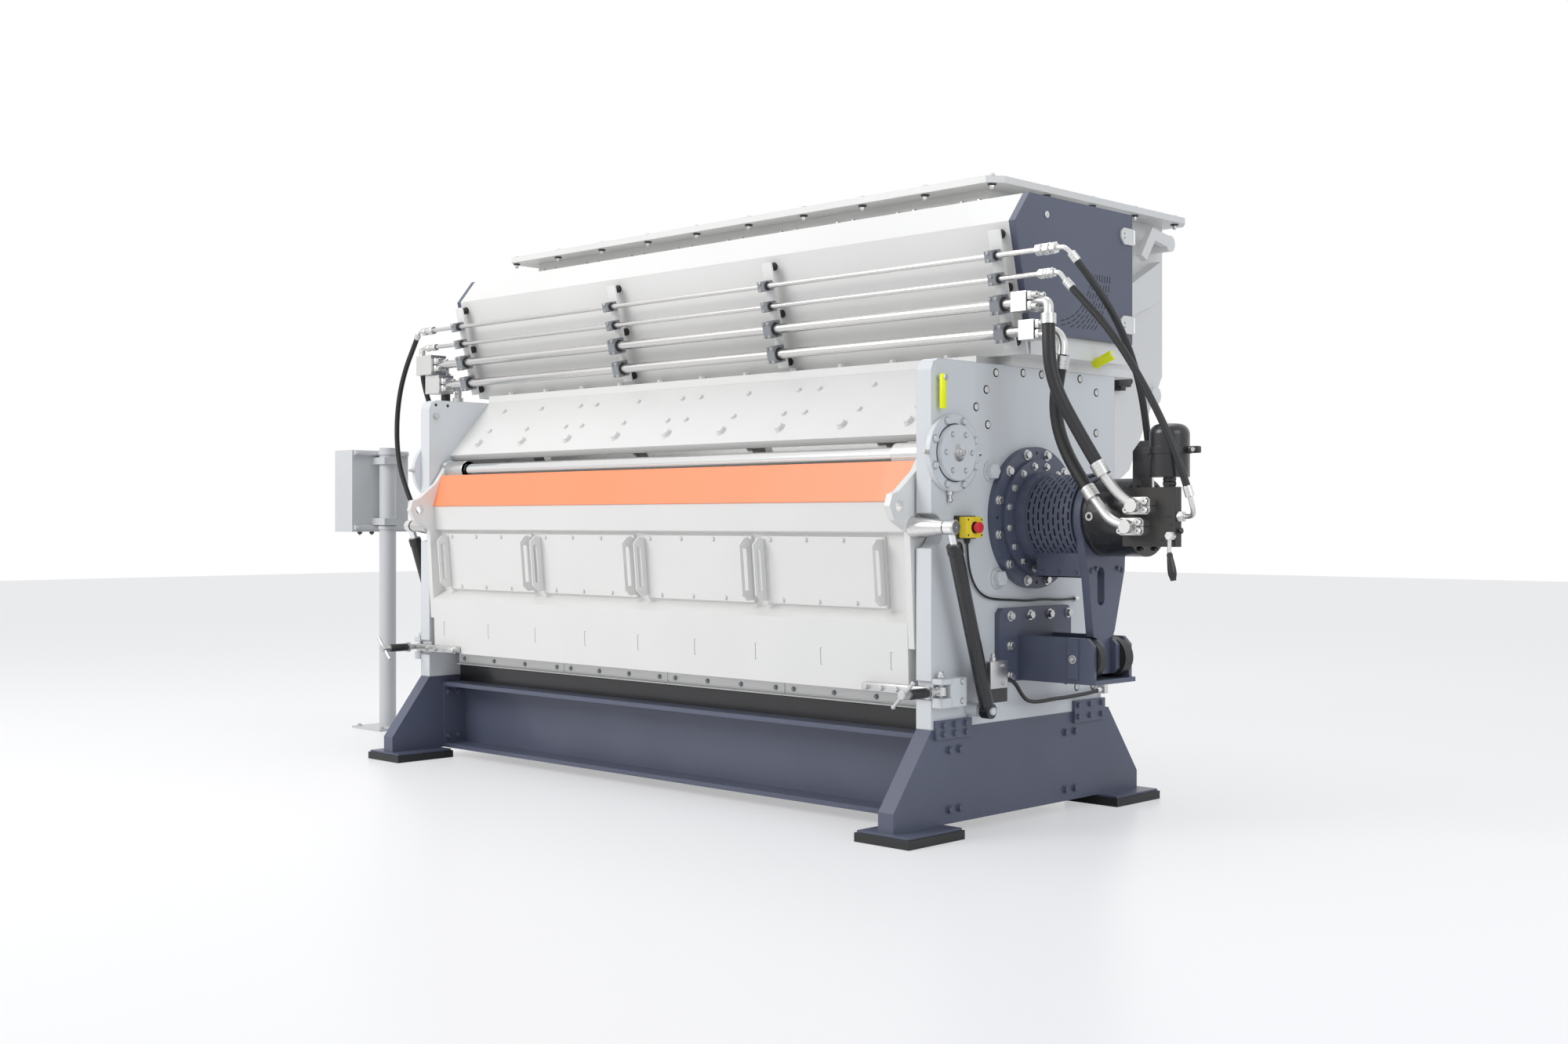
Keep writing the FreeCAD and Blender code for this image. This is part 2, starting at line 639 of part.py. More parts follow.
def fittings():
    """The couplings, flange blocks and bent ends that the hoses are fixed to."""
    pieces = []
    for side in (-1, 1):
        for index, ((y, z), end) in enumerate(zip(THIN_PIPES, THIN_ENDS)):
            name = "coupling_%d_%d" % (index, side + 1)
            start = end if side > 0 else -end - 80
            pieces.append(rod(name, "X", start, y, z, 16, 80 if index == 0 else 72))
        start = OUTER_FACE if side > 0 else "- " + OUTER_FACE.replace("+", "-") + " - 37"
        pieces.append(box("bulkhead_%d" % (side + 1), start, 505, 470, 37, 25, 35))
    for index, ((y, z), (_, end)) in enumerate(zip(THICK_PIPES, THICK_ENDS)):
        pieces.append(box("flange_%d" % index, end, y - 38, z - 38, 72, 76, 76))
    pieces.append(box("turn_block_0", -2118, -318, 1975, 136, 96, 103))
    pieces.append(box("turn_block_1", -2072, -292, 1874, 124, 94, 97))
    heads = []
    for index, (x, z) in enumerate(PORTS_RIGHT):
        flange = plate("port_%d" % index, "Y", -172.0, 42.0, [
            (x - 56.0, z - 22.0), (x - 44.0, z - 32.0), (x + 44.0, z - 32.0),
            (x + 56.0, z - 22.0), (x + 56.0, z + 22.0), (x + 44.0, z + 32.0),
            (x - 44.0, z + 32.0), (x - 56.0, z + 22.0)])
        heads.append(joined("port_head_%d" % index, flange,
                            rod("port_elbow_%d" % index, "Y", x, -214, z, 25, 42)))
    ends = []
    for name, (radius, points, sleeves, start_bend, end_bend) in HOSES.items():
        if start_bend:
            ends.append(hose_end(name + "_start", points[::-1], radius, sleeves[0], start_bend))
        ends.append(hose_end(name + "_end", points, radius, sleeves[1], end_bend))
    pieces.append(rod("side_port", "X", 2442, -110, 1208, 16, 26))
    pieces.append(rod("cable_gland", "Y", 1686, 320, 872, 11, 24))
    node(joined("pipe_fittings", *(pieces + heads + ends)))


def cords():
    """Each hose, line and cable is a tube of its own between its two ends."""
    fittings()
    for name, (radius, points, _, _, _) in HOSES.items():
        node(tube(name, points, radius))
    node(tube("stop_cable", STOP_CABLE, 4.5))


def rotor():
    drum = rod("drum", "X", "- drum_half", "rotor_y", "rotor_z", "drum_radius",
               "drum_half + drum_half")
    shaft = rod("journals", "X", SHAFT_START, "rotor_y", "rotor_z", "journal_radius",
                SHAFT_LENGTH)
    knives = []
    for ring in range(KNIFE_RINGS):
        x = KNIFE_START + ring * KNIFE_STEP
        for index in range(KNIVES_PER_RING):
            angle = math.radians(360.0 * index / KNIVES_PER_RING + 15.0 * ring)
            knife = doc.addObject("Part::Box", "knife_%d_%d" % (ring, index))
            knife.Length = 84
            knife.Width = 40
            knife.Height = 60
            turn = Rotation(Vector(1, 0, 0), math.degrees(angle))
            centre = Vector(x, SIZES["rotor_y"], SIZES["rotor_z"])
            knife.Placement = Placement(centre + turn.multVec(Vector(0, -20, 312)), turn)
            knives.append(knife)
    node(joined("rotor", drum, shaft, *knives))


def door():
    node(plate("door_shell", "X", "- door_half", DOOR_WIDTH, [
        (-535.0, 1421.0), (-588.0, 1266.0), (-579.0, 1150.0), (-551.0, 1141.0),
        (-525.0, 840.0), (-591.0, 802.0), (-582.0, 534.0), (-435.0, 534.0),
        (-435.0, 464.0), (-423.0, 464.0), (-423.0, 820.0), (-470.0, 860.0),
        (-480.0, 1380.0), (-517.0, 1421.0)]))
    node(plate("door_band", "X", "- door_half", DOOR_WIDTH, [
        (-535.0, 1421.0), (-541.0, 1423.0), (-594.0, 1268.0), (-588.0, 1266.0)]))
    blank = plate("ear_blank", "X", "door_half", "ear_plate", [
        (-572.0, 1384.0), (-530.0, 1445.0), (-512.0, 1486.0), (-478.0, 1500.0),
        (-444.0, 1486.0), (-430.0, 1450.0), (-444.0, 1400.0), (-470.0, 1340.0),
        (-470.0, 800.0), (-500.0, 705.0), (-585.0, 705.0), (-612.0, 1150.0),
        (-700.0, 1195.0), (-728.0, 1248.0), (-712.0, 1292.0), (-672.0, 1306.0)])
    bore = rod("ear_bore", "X", "door_half - 10", "shaft_y", "shaft_z", "sleeve_radius", 50)
    eye = rod("ear_eye", "X", "door_half - 10", -672, 1248, 22, 50)
    both_ends("door_ears", drilled("ear", blank, bore, eye))
    shaft = rod("shaft_bar", "X", SHAFT_START, "shaft_y", "shaft_z", "shaft_radius",
                SHAFT_LENGTH)
    sleeve = rod("shaft_sleeve", "X", "door_half + ear_plate - 174", "shaft_y", "shaft_z",
                 "sleeve_radius", 174)
    node(joined("hinge_shaft", shaft, sleeve, mirrored("shaft_sleeve_left", sleeve)))
    covers = []
    for index, (low, high) in enumerate(HATCHES):
        covers.append(plate("hatch_%d" % index, "X", low, high - low, [
            (-550.5, 1131.0), (-562.4, 1130.0), (-538.4, 852.0), (-526.5, 853.0)]))
    node(gathered("door_hatches", *covers))
    handles = [plate("handle_%d" % index, "X", x - 4.0, 8.0, [
        (-561.6, 1118.0), (-597.0, 1121.0), (-624.0, 1094.0), (-606.0, 886.0),
        (-575.0, 861.0), (-539.6, 864.0)],
        [(-585.0, 1080.0), (-607.0, 1078.0), (-591.0, 902.0), (-570.0, 904.0)])
        for index, x in enumerate(HANDLES)]
    node(gathered("hatch_handles", *handles))
    pin = cone("pin_cone", "door_half + ear_plate", "pin_y", "pin_z", 44, 26, 150)
    both_ends("door_pins", pin)
    bar = box("bar_right", 1440, -620, 536, 232, 36.6, 34)
    both_ends("clamp_bars", bar)


REACH = Vector(0, -225, 699).normalize()


def cylinders():
    def barrel(label):
        knuckle = rod(label + "_knuckle", "X", 1746, "pivot_y", "pivot_z", 30, 40)
        tube = leaning_rod(label + "_tube", "cylinder_x", "pivot_y", "pivot_z", REACH,
                           "barrel_radius", 648, 20)
        hole = rod(label + "_hole", "X", 1740, "pivot_y", "pivot_z", "15 + running_gap", 52)
        bore = leaning_rod(label + "_bore", "cylinder_x", "pivot_y", "pivot_z", REACH,
                           "rod_radius + running_gap", 620, 60)
        block = box(label + "_block", 1744, -372, 500, 44, 104, 155)
        return drilled(label, joined(label + "_body", knuckle, tube, block), hole, bore)

    def ram(label):
        stem = leaning_rod(label + "_stem", "cylinder_x", "pivot_y", "pivot_z", REACH,
                           "rod_radius", 634, 75)
        eye = rod(label + "_eye", "X", 1747, "pin_y", "pin_z", 29, 40)
        return joined(label, stem, eye)

    pair("door_barrel", barrel)
    pair("door_rod", ram)
    boss = rod("boss", "X", "half_clear + frame_plate", "pivot_y", "pivot_z", 26, 55)
    pin = rod("boss_pin", "X", 1725, "pivot_y", "pivot_z", 15, 71)
    return joined("cylinder_boss", boss, pin)


def clamps():
    out = "half_clear + frame_plate"
    root = box("clevis_root", out, -536, 490, 50, 98, 110)
    low = box("clevis_low", 1680, -590, 490, 48, 60, 38)
    high = box("clevis_high", 1680, -590, 578, 48, 60, 22)
    pin = rod("clevis_pin", "Z", "clamp_x", "clamp_y", 490, "clamp_pin", 118)
    clevis = joined("clevis", root, low, high, pin)

    def bolt(label):
        eye = rod(label + "_eye", "Z", "clamp_x", "clamp_y", 537, 21, 32)
        hole = rod(label + "_hole", "Z", "clamp_x", "clamp_y", 530, "clamp_pin + running_gap", 50)
        shank = rod(label + "_shank", "Y", "clamp_x", -788, "clamp_z", 9, 205)
        washer = rod(label + "_washer", "Y", "clamp_x", -649, "clamp_z", 25, 8)
        sleeve = rod(label + "_sleeve", "Y", "clamp_x", -756, "clamp_z", 17.5, 107)
        nut = rod(label + "_nut", "Y", "clamp_x", -800, "clamp_z", 15, 44)
        lean = Vector(1, 0, 1)
        grip = leaning_rod(label + "_grip", "clamp_x", -786, "clamp_z", lean, 7, 130, -65)
        solid = joined(label + "_solid", eye, shank, washer, sleeve, nut, grip)
        return drilled(label, solid, hole)

    pair("clamp_bolt", bolt)
    return clevis


def controls():
    base = box("stop_base", OUTER_FACE, -456, 1123, 22, 111, 89)
    lid = box("stop_lid", 1697, -452, 1127, 38, 103, 81)
    button = rod("stop_button", "X", 1735, -400, 1167, 20, 28)
    gland = rod("stop_gland", "Z", 1686, -386, 1105, 9, 18)
    node(joined("emergency_stop", base, lid, button, gland))
    foot = box("post_foot", "post_x - 145", "post_y - 145", 0, 290, 290, 12)
    mast = rod("post_mast", "Z", "post_x", "post_y", 12, "post_radius", 1600)
    straps = [box("strap_%d" % n, "post_x - 70", "post_y - 60", z, 130, 120, 40)
              for n, z in enumerate((1170.0, 1520.0))]
    node(joined("control_post", foot, mast, *straps))
    node(box("control_box", -3083, -226, 1132, 183, 375, 469))


def rear_details():
    """Lock pins on the right end, and the arms and trays beside the infeed neck."""
    stub = rod("pin_stub", "X", OUTER_FACE, -549, 1732, 8, 35)
    hanging = rod("pin_hanging", "Z", 1700, -549, 1615, 14, 130)
    lying = leaning_rod("pin_lying", 1811, 278, 1827, Vector(0, 141, 51), 20, 150)
    node(gathered("lock_pins", joined("pin_set", stub, hanging), lying))
    hub = rod("rear_hub", "X", "neck_half", 1200, 2445, 36, 118)
    link = plate("rear_link", "X", 1570.0, 30.0, [
        (1216.0, 2420.0), (1216.0, 2474.0), (1050.0, 2500.0), (960.0, 2370.0),
        (1004.0, 2348.0), (1072.0, 2444.0)])
    tray = plate("rear_tray", "X", "neck_half", 60.0, [
        (892.0, 2069.0), (1212.0, 2192.0), (1212.0, 2371.0), (892.0, 2206.0)])
    boss = rod("rear_boss", "X", "neck_half", 1221, 1764, 40, 30)
    both_ends("duct_arms", gathered("duct_arm_set", joined("rear_arm", hub, link), tray, boss))


both_ends("base_sides", base_side("base_side"))
front_beam = base_beam()
node(gathered("base_beams", front_beam, mirrored("base_beam_rear", front_beam, (0, 1, 0))))
feet()
both_ends("end_frames", end_frame("end_frame"))
frame_details()
infeed()
hood()
pipes()
drive()
valves()
rotor()
door()
both_ends("frame_brackets", gathered("brackets", cylinders(), clamps()))
controls()
rear_details()
cords()
doc.recompute()

bad = [item.Name for item in doc.Objects if "Invalid" in item.State or "Error" in item.State]
if bad:
    raise RuntimeError("objects not computed: %s" % bad)
for item in NODES:
    if item.Shape.isNull() or not item.Shape.isValid() or item.Shape.Volume <= 0:
        raise RuntimeError("bad shape: %s" % item.Label)
os.makedirs("parts", exist_ok=True)
for item in NODES:
    item.Shape.exportStep("parts/%s.step" % item.Label)
print(len(NODES), "nodes")
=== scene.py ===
import math

import bmesh
import bpy
from mathutils import Matrix, Vector


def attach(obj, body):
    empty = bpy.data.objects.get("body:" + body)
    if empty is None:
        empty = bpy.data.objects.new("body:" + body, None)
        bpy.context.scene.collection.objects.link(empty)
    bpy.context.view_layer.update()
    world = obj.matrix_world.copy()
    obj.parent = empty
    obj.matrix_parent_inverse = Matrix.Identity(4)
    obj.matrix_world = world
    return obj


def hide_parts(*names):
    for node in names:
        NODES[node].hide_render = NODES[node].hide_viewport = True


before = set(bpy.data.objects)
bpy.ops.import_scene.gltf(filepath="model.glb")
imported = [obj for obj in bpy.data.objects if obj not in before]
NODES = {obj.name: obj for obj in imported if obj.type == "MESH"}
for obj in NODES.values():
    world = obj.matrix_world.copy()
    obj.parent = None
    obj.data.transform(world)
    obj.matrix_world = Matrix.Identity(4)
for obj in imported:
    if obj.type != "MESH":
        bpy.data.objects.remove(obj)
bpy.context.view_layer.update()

# The camera, in metres, degrees and millimetres of lens.
CAMERA_PLACE = (5.8405, -5.6603, 1.1879)
CAMERA_YAW = 44.224
CAMERA_LENS = 40.04
SENSOR_WIDTH = 36.0

# Every place below is in millimetres in the frame of the model, and MM turns it to metres.
MM = 0.001
ENDS = (1, -1)
SIDES = ((1, "right"), (-1, "left"))

# Distances from the middle to the faces at each end of the machine.
OUTER = 1675.0
INNER = 1600.0
BEAM_END = 1585.0
TIE_PLATE = 1690.0
HINGE_RING = 1700.0
HINGE_DISC = 1720.0
BEARING_RING = 1704.0
BEARING_COLLAR = 1722.0
BEARING_CAP = 1772.0
BRACKET_WALL = 1700.0
ARM_FACE = 2020.0
MOTOR_ENDS = {1: 2216.0, -1: -2350.0}
HOOD_END = 1821.0
DOOR_END = 1672.0
NECK_SIDE = 1482.0

# Axes along X, each as Y and Z.
HINGE = (-478.0, 1450.0)
ROTOR = (38.0, 1205.0)
DOOR_PIN = (-587.0, 1168.0)

# Levels and faces across the machine.
ROOF_TOP = 1842.0
FLANGE_TOP = 2573.0
FLANGE_UNDER = 2545.0
REAR_WALL = 507.0

# The rails' places along the hood, and each pipe's Y, Z and radius.
STATIONS = (1750.0, 520.0, -520.0, -1750.0)
PIPES = (
    (-315.0, 2207.0, 10.5),
    (-295.0, 2120.0, 10.5),
    (-268.0, 2025.0, 21.0),
    (-245.0, 1918.0, 21.0),
)

# Each hose: its radius, its length in metres and its route.
HOSE_RADIUS = 25.0
LINE_RADIUS = 13.5
CYLINDER_HOSE_RADIUS = 8.0
STOP_CABLE_RADIUS = 4.5
HOSES = {
    "hose_right_front": (HOSE_RADIUS, 0.565, [
        (1990, -282, 1930), (1995, -288, 1858), (1999, -286, 1778), (2021, -272, 1675),
        (2104, -240, 1512), (2164, -222, 1408)]),
    "hose_right_back": (HOSE_RADIUS, 0.492, [
        (1993, -212, 1770), (1972, -207, 1690), (1962, -197, 1598), (1982, -189, 1500),
        (2036, -185, 1395), (2096, -185, 1316)]),
    "line_right_upper": (LINE_RADIUS, 0.823, [
        (2125, -290, 2152), (2170, -262, 2080), (2215, -215, 1985), (2245, -140, 1850),
        (2254, -70, 1700), (2252, -22, 1545), (2255, -2, 1412)]),
    "line_right_lower": (LINE_RADIUS, 0.869, [
        (2095, -279, 2057), (2163, -268, 1983), (2245, -256, 1890), (2333, -240, 1758),
        (2425, -225, 1592), (2494, -205, 1430), (2520, -182, 1318)]),
    "hose_left_front": (HOSE_RADIUS, 0.661, [
        (-2098, -143, 1935), (-2104, -140, 1850), (-2111, -128, 1762), (-2122, -90, 1672),
        (-2138, -30, 1592), (-2158, 48, 1522), (-2180, 128, 1464), (-2196, 186, 1410)]),
    "hose_left_back": (HOSE_RADIUS, 0.557, [
        (-2016, -118, 1800), (-2022, -112, 1720), (-2034, -85, 1630), (-2056, -28, 1550),
        (-2086, 52, 1488), (-2116, 130, 1436), (-2134, 188, 1386)]),
    "line_left_upper": (LINE_RADIUS, 0.985, [
        (-2150, -292, 2180), (-2215, -275, 2125), (-2300, -260, 2040), (-2379, -250, 1905),
        (-2425, -240, 1745), (-2428, -234, 1575), (-2390, -225, 1422), (-2340, -205, 1305)]),
    "line_left_lower": (LINE_RADIUS, 0.861, [
        (-2118, -280, 2080), (-2140, -268, 2030), (-2150, -252, 1950), (-2146, -224, 1850),
        (-2152, -170, 1735), (-2176, -90, 1632), (-2210, 10, 1545), (-2246, 110, 1470),
        (-2270, 178, 1410)]),
}

# The right cylinder's hose, which the left one mirrors.
CYLINDER_HOSE = [
    (1768, -266.5, 585), (1768, -222, 580), (1764, -178, 556), (1752, -134, 520),
    (1738, -80, 488), (1726, -15, 474), (1716, 65, 471), (1710, 150, 474),
    (1706, 235, 473), (1704, 320, 476), (1702, 400, 478), (1700, 465, 484)]
STOP_CABLE = [
    (1686, -386, 1105), (1686, -382, 1040), (1686, -362, 975), (1686, -322, 922),
    (1686, -262, 893), (1686, -180, 884), (1686, -90, 880), (1686, 10, 873),
    (1686, 110, 878), (1686, 220, 870), (1686, 320, 872)]


# The stains and the grain of every finish, in metres where a length.
STAIN_SCALE = 2.3
STAIN_STOPS = (0.35, 0.65)
GRAIN_SCALE = 350.0
GRAIN_STRENGTH = 0.04
GRAIN_DEPTH = 0.0006
NOISE_DETAIL = 3.0
EDGE_SAMPLES = 4
BRUSHED = (0.05, 1.0, 1.0)


def tree(name):
    """A new material and its principled shader."""
    material = bpy.data.materials.new(name)
    material.use_nodes = True
    return material, material.node_tree.nodes["Principled BSDF"]


def link(material, source, target):
    """Joins an output of one shader node to an input of another."""
    material.node_tree.links.new(source, target)


def add(material, kind, **inputs):
    """A shader node with inputs set by name, an underscore standing for a space."""
    item = material.node_tree.nodes.new(kind)
    for key, value in inputs.items():
        item.inputs[key.replace("_", " ")].default_value = value
    return item


def noise_node(material, scale, stretch=None):
    """Noise in object space, stretched where a direction is given."""
    place = add(material, "ShaderNodeTexCoord")
    source = place.outputs["Object"]
    if stretch:
        mapping = add(material, "ShaderNodeMapping", Scale=stretch)
        link(material, source, mapping.inputs["Vector"])
        source = mapping.outputs["Vector"]
    item = add(material, "ShaderNodeTexNoise", Scale=scale, Detail=NOISE_DETAIL)
    link(material, source, item.inputs["Vector"])
    return item


def ramp(material, source, low, high):
    """A colour that goes from low to high over the middle of a noise."""
    item = add(material, "ShaderNodeValToRGB")
    for stop, place, colour in zip(item.color_ramp.elements, STAIN_STOPS, (low, high)):
        stop.position = place
        stop.color = (*colour, 1.0)
    link(material, source, item.inputs["Fac"])
    return item


def spread(material, source, low, high):
    """A noise stretched between two values."""
    item = add(material, "ShaderNodeMapRange", To_Min=low, To_Max=high)
    link(material, source, item.inputs["Value"])
    return item.outputs["Result"]


def surface(name, colour, rough, vary, metal=0.0, edge=0.003, stretch=None, coat=0.0):
    """Paint, metal, rubber or plastic with a fine grain, faint stains and soft edges."""
    material, shader = tree(name)
    shader.inputs["Metallic"].default_value = metal
    shader.inputs["Coat Weight"].default_value = coat
    wide = noise_node(material, STAIN_SCALE)
    fine = noise_node(material, GRAIN_SCALE, stretch)
    low = tuple(max(0.0, c * (1.0 - vary)) for c in colour)
    high = tuple(min(1.0, c * (1.0 + vary)) for c in colour)
    link(material, ramp(material, wide.outputs["Fac"], low, high).outputs["Color"],
         shader.inputs["Base Color"])
    link(material, spread(material, fine.outputs["Fac"], rough * 0.85, min(1.0, rough * 1.15)),
         shader.inputs["Roughness"])
    height = add(material, "ShaderNodeBump", Strength=GRAIN_STRENGTH, Distance=GRAIN_DEPTH)
    link(material, fine.outputs["Fac"], height.inputs["Height"])
    if edge:
        soft = add(material, "ShaderNodeBevel", Radius=edge)
        soft.samples = EDGE_SAMPLES
        link(material, soft.outputs["Normal"], height.inputs["Normal"])
    link(material, height.outputs["Normal"], shader.inputs["Normal"])
    return material


WHITE = surface("body_white", (0.74, 0.735, 0.72), 0.38, vary=0.012, coat=0.1)
# The end frames' white is a darker, cooler copy of the body's white: painted shade for their outer
# faces, which face away from the key light.
SHADED_WHITE = surface("frame_white_painted_shade", (0.66, 0.68, 0.70), 0.40, vary=0.015, coat=0.1, edge=0.008)
BLUE = surface("steel_blue", (0.088, 0.100, 0.150), 0.42, vary=0.05, coat=0.1)
ORANGE = surface("orange", (0.98, 0.29, 0.13), 0.38, vary=0.015, coat=0.1)
STEEL = surface("bright_steel", (0.66, 0.65, 0.64), 0.28, metal=1.0, vary=0.03, stretch=BRUSHED)
SILVER = surface("satin_fitting", (0.70, 0.70, 0.69), 0.34, metal=1.0, vary=0.04, edge=0.002)
ZINC = surface("zinc", (0.60, 0.60, 0.60), 0.34, metal=1.0, vary=0.06, edge=0.0012)
CHROME = surface("chrome", (0.80, 0.80, 0.80), 0.13, metal=1.0, vary=0.01, stretch=BRUSHED)
GREY = surface("mid_grey", (0.25, 0.26, 0.28), 0.5, vary=0.05, edge=0.002)
BLACK = surface("black_paint", (0.012, 0.012, 0.014), 0.28, vary=0.2, coat=0.2)
BLOCK = surface("dark_block", (0.030, 0.027, 0.025), 0.5, vary=0.1, edge=0.002)
RUBBER = surface("black_rubber", (0.014, 0.014, 0.015), 0.44, vary=0.2, edge=0.002)
YELLOW = surface("yellow_plastic", (0.90, 0.68, 0.03), 0.4, vary=0.02, edge=0.0015)
LIME = surface("pin_yellow", (0.83, 0.88, 0.01), 0.4, vary=0.02, edge=0.0015)
RED = surface("red_plastic", (0.72, 0.03, 0.05), 0.33, vary=0.03, edge=0.0015)
BOX_GREY = surface("box_grey", (0.60, 0.61, 0.62), 0.4, vary=0.02)
# A near-black finish: painted shade in bores, recesses, vents and inside the guards, and also the
# dark split lines and seals between parts.
SHADE_AND_JOINTS = surface("painted_shade_and_joints", (0.02, 0.02, 0.022), 0.7, vary=0.2, edge=0)

# The finish of each node of the frame.
DRESS = (
    (WHITE, "infeed_walls infeed_rear inlet_flange hood_sheet knife_beam chamber_roof "
            "door_shell door_hatches door_ears rear_wall hatch_handles duct_arms"),
    (SHADED_WHITE, "end_frames hinge_covers frame_brackets"),
    (BLUE, "base_sides base_beams hood_ends bearing_flanges torque_arms torque_brackets"),
    (ORANGE, "door_band"),
    (STEEL, "hood_pipes door_pins rotor screen_bars"),
    (SILVER, "pipe_fittings"),
    (CHROME, "hinge_shaft door_rod_right door_rod_left"),
    (ZINC, "clamp_bolt_right clamp_bolt_left"),
    (GREY, "pipe_clamps"),
    (BOX_GREY, "control_box control_post"),
    # The discharge skirt in black paint is painted shade: a dark sheet standing for the dark space
    # under the door.
    (BLACK, "drive_motors accumulator door_barrel_right door_barrel_left discharge_skirt"),
    (BLOCK, "valve_block"),
    (RUBBER, "foot_pads torque_buffers"),
)
for material, names in DRESS:
    for name in names.split():
        for place in NODES[name].material_slots:
            place.material = material


def place_at(place, axis, turn=0.0):
    """Millimetres round a place, with the local Z along an axis, to metres in the frame."""
    turned = Vector(axis).to_track_quat("Z", "Y").to_matrix().to_4x4()
    spot = Matrix.Translation(Vector(place) * MM)
    return spot @ turned @ Matrix.Rotation(turn, 4, "Z") @ Matrix.Scale(MM, 4)


def lathe(mesh, place, axis, profile, sides=24, turn=0.0):
    """Turns a profile of radius and height pairs about an axis through a place."""
    matrix = place_at(place, axis, turn)
    rings = []
    for radius, height in profile:
        count = 1 if radius == 0 else sides
        ring = []
        for index in range(count):
            angle = 2 * math.pi * index / sides
            local = Vector((radius * math.cos(angle), radius * math.sin(angle), height))
            ring.append(mesh.verts.new(matrix @ local))
        rings.append(ring)
    for low, high in zip(rings, rings[1:]):
        for index in range(sides):
            after = (index + 1) % sides
            corners = [low[index % len(low)], low[after % len(low)],
                       high[after % len(high)], high[index % len(high)]]
            mesh.faces.new(list(dict.fromkeys(corners)))


def disc(mesh, place, axis, radius, thick, sides=24):
    """A round plate."""
    lathe(mesh, place, axis, [(0, 0), (radius, 0), (radius, thick), (0, thick)], sides)


def collar(mesh, place, axis, inner, outer, thick, sides=48):
    """A round plate with a hole."""
    section = [(inner, 0), (outer, 0), (outer, thick), (inner, thick), (inner, 0)]
    lathe(mesh, place, axis, section, sides)


def hexagon(mesh, place, axis, radius, length, turn=0.0):
    """A hexagon bar with both ends chamfered."""
    cut = 0.12 * radius
    lathe(mesh, place, axis, [
        (0, 0), (radius - cut, 0), (radius, cut), (radius, length - cut),
        (radius - cut, length), (0, length)], 6, turn)


def bolt(mesh, place, axis, size):
    """A washer and a hexagon head for a thread of the given size."""
    disc(mesh, place, axis, 1.1 * size, 0.16 * size, 20)
    lathe(mesh, place, axis, [
        (0, 0.16 * size), (0.87 * size, 0.16 * size), (0.87 * size, 0.75 * size),
        (0.78 * size, 0.83 * size), (0, 0.83 * size)], 6)


def socket_screw(mesh, place, axis, size):
    """A round head with a deep recess."""
    lathe(mesh, place, axis, [
        (0, 0), (0.75 * size, 0), (0.75 * size, 0.9 * size), (0.68 * size, size),
        (0.42 * size, size), (0.40 * size, 0.45 * size), (0, 0.4 * size)], 18)


def block(mesh, low, high, soft=0.0, face=None):
    """A box between two corners, with soft edges, in the frame or on a sloping face."""
    matrix = face or Matrix.Scale(MM, 4)
    corners = [mesh.verts.new(matrix @ Vector((x, y, z)))
               for x in (low[0], high[0]) for y in (low[1], high[1]) for z in (low[2], high[2])]
    loops = ((0, 1, 3, 2), (4, 6, 7, 5), (0, 4, 5, 1), (2, 3, 7, 6), (0, 2, 6, 4), (1, 5, 7, 3))
    faces = [mesh.faces.new([corners[index] for index in loop]) for loop in loops]
    if soft:
        edges = list(dict.fromkeys(edge for item in faces for edge in item.edges))
        bmesh.ops.bevel(mesh, geom=edges, offset=soft * MM, segments=2, profile=0.5,
                        affect="EDGES")


def prism(mesh, start, end, outline):
    """A flat shape in the YZ plane, given thickness along X."""
    rings = [[mesh.verts.new(Vector((x, y, z)) * MM) for y, z in outline] for x in (start, end)]
    for ring in rings:
        mesh.faces.new(ring)
    for index in range(len(outline)):
        after = (index + 1) % len(outline)
        mesh.faces.new([rings[0][index], rings[0][after], rings[1][after], rings[1][index]])


def face_frame(foot, top):
    """A frame on a sloping face: X across, Y out of the face, Z up along it."""
    along = Vector((0, top[0] - foot[0], top[1] - foot[1])).normalized()
    out = Vector((0, -along.z, along.y))
    matrix = Matrix.Identity(4)
    for column, axis in enumerate((Vector((1, 0, 0)), out, along)):
        for row in range(3):
            matrix[row][column] = axis[row] * MM
    matrix.translation = Vector((0, *foot)) * MM
    return matrix


def on_face(face, x, off, along):
    """A place on a sloping face, in the frame of the model."""
    return tuple(face @ Vector((x, off, along)) / MM)


def out_of(face):
    """The direction straight out of a sloping face."""
    return tuple(face.col[1][:3])


# The sloping faces, each from its lower edge to its upper one.
HOOD_FACE = face_frame((-142.0, 1842.0), (-263.0, 2345.0))
KNIFE_FACE = face_frame((-462.0, 1528.0), (-219.0, 1806.0))
HATCH_FACE = face_frame((-538.4, 852.0), (-562.4, 1130.0))
DOOR_FACE = face_frame((-582.0, 534.0), (-591.0, 802.0))


SHARP_ANGLE = math.radians(35)


def piece(name, mesh, material, body="machine", replaces=()):
    """Makes an object of a mesh, with its material, its body and the node it stands for."""
    bmesh.ops.recalc_face_normals(mesh, faces=mesh.faces)
    data = bpy.data.meshes.new(name)
    mesh.to_mesh(data)
    mesh.free()
    data.materials.append(material)
    data.polygons.foreach_set("use_smooth", [True] * len(data.polygons))
    data.set_sharp_from_angle(angle=SHARP_ANGLE)
    item = bpy.data.objects.new(name, data)
    bpy.context.collection.objects.link(item)
    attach(item, body)
    if replaces:
        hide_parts(*replaces)


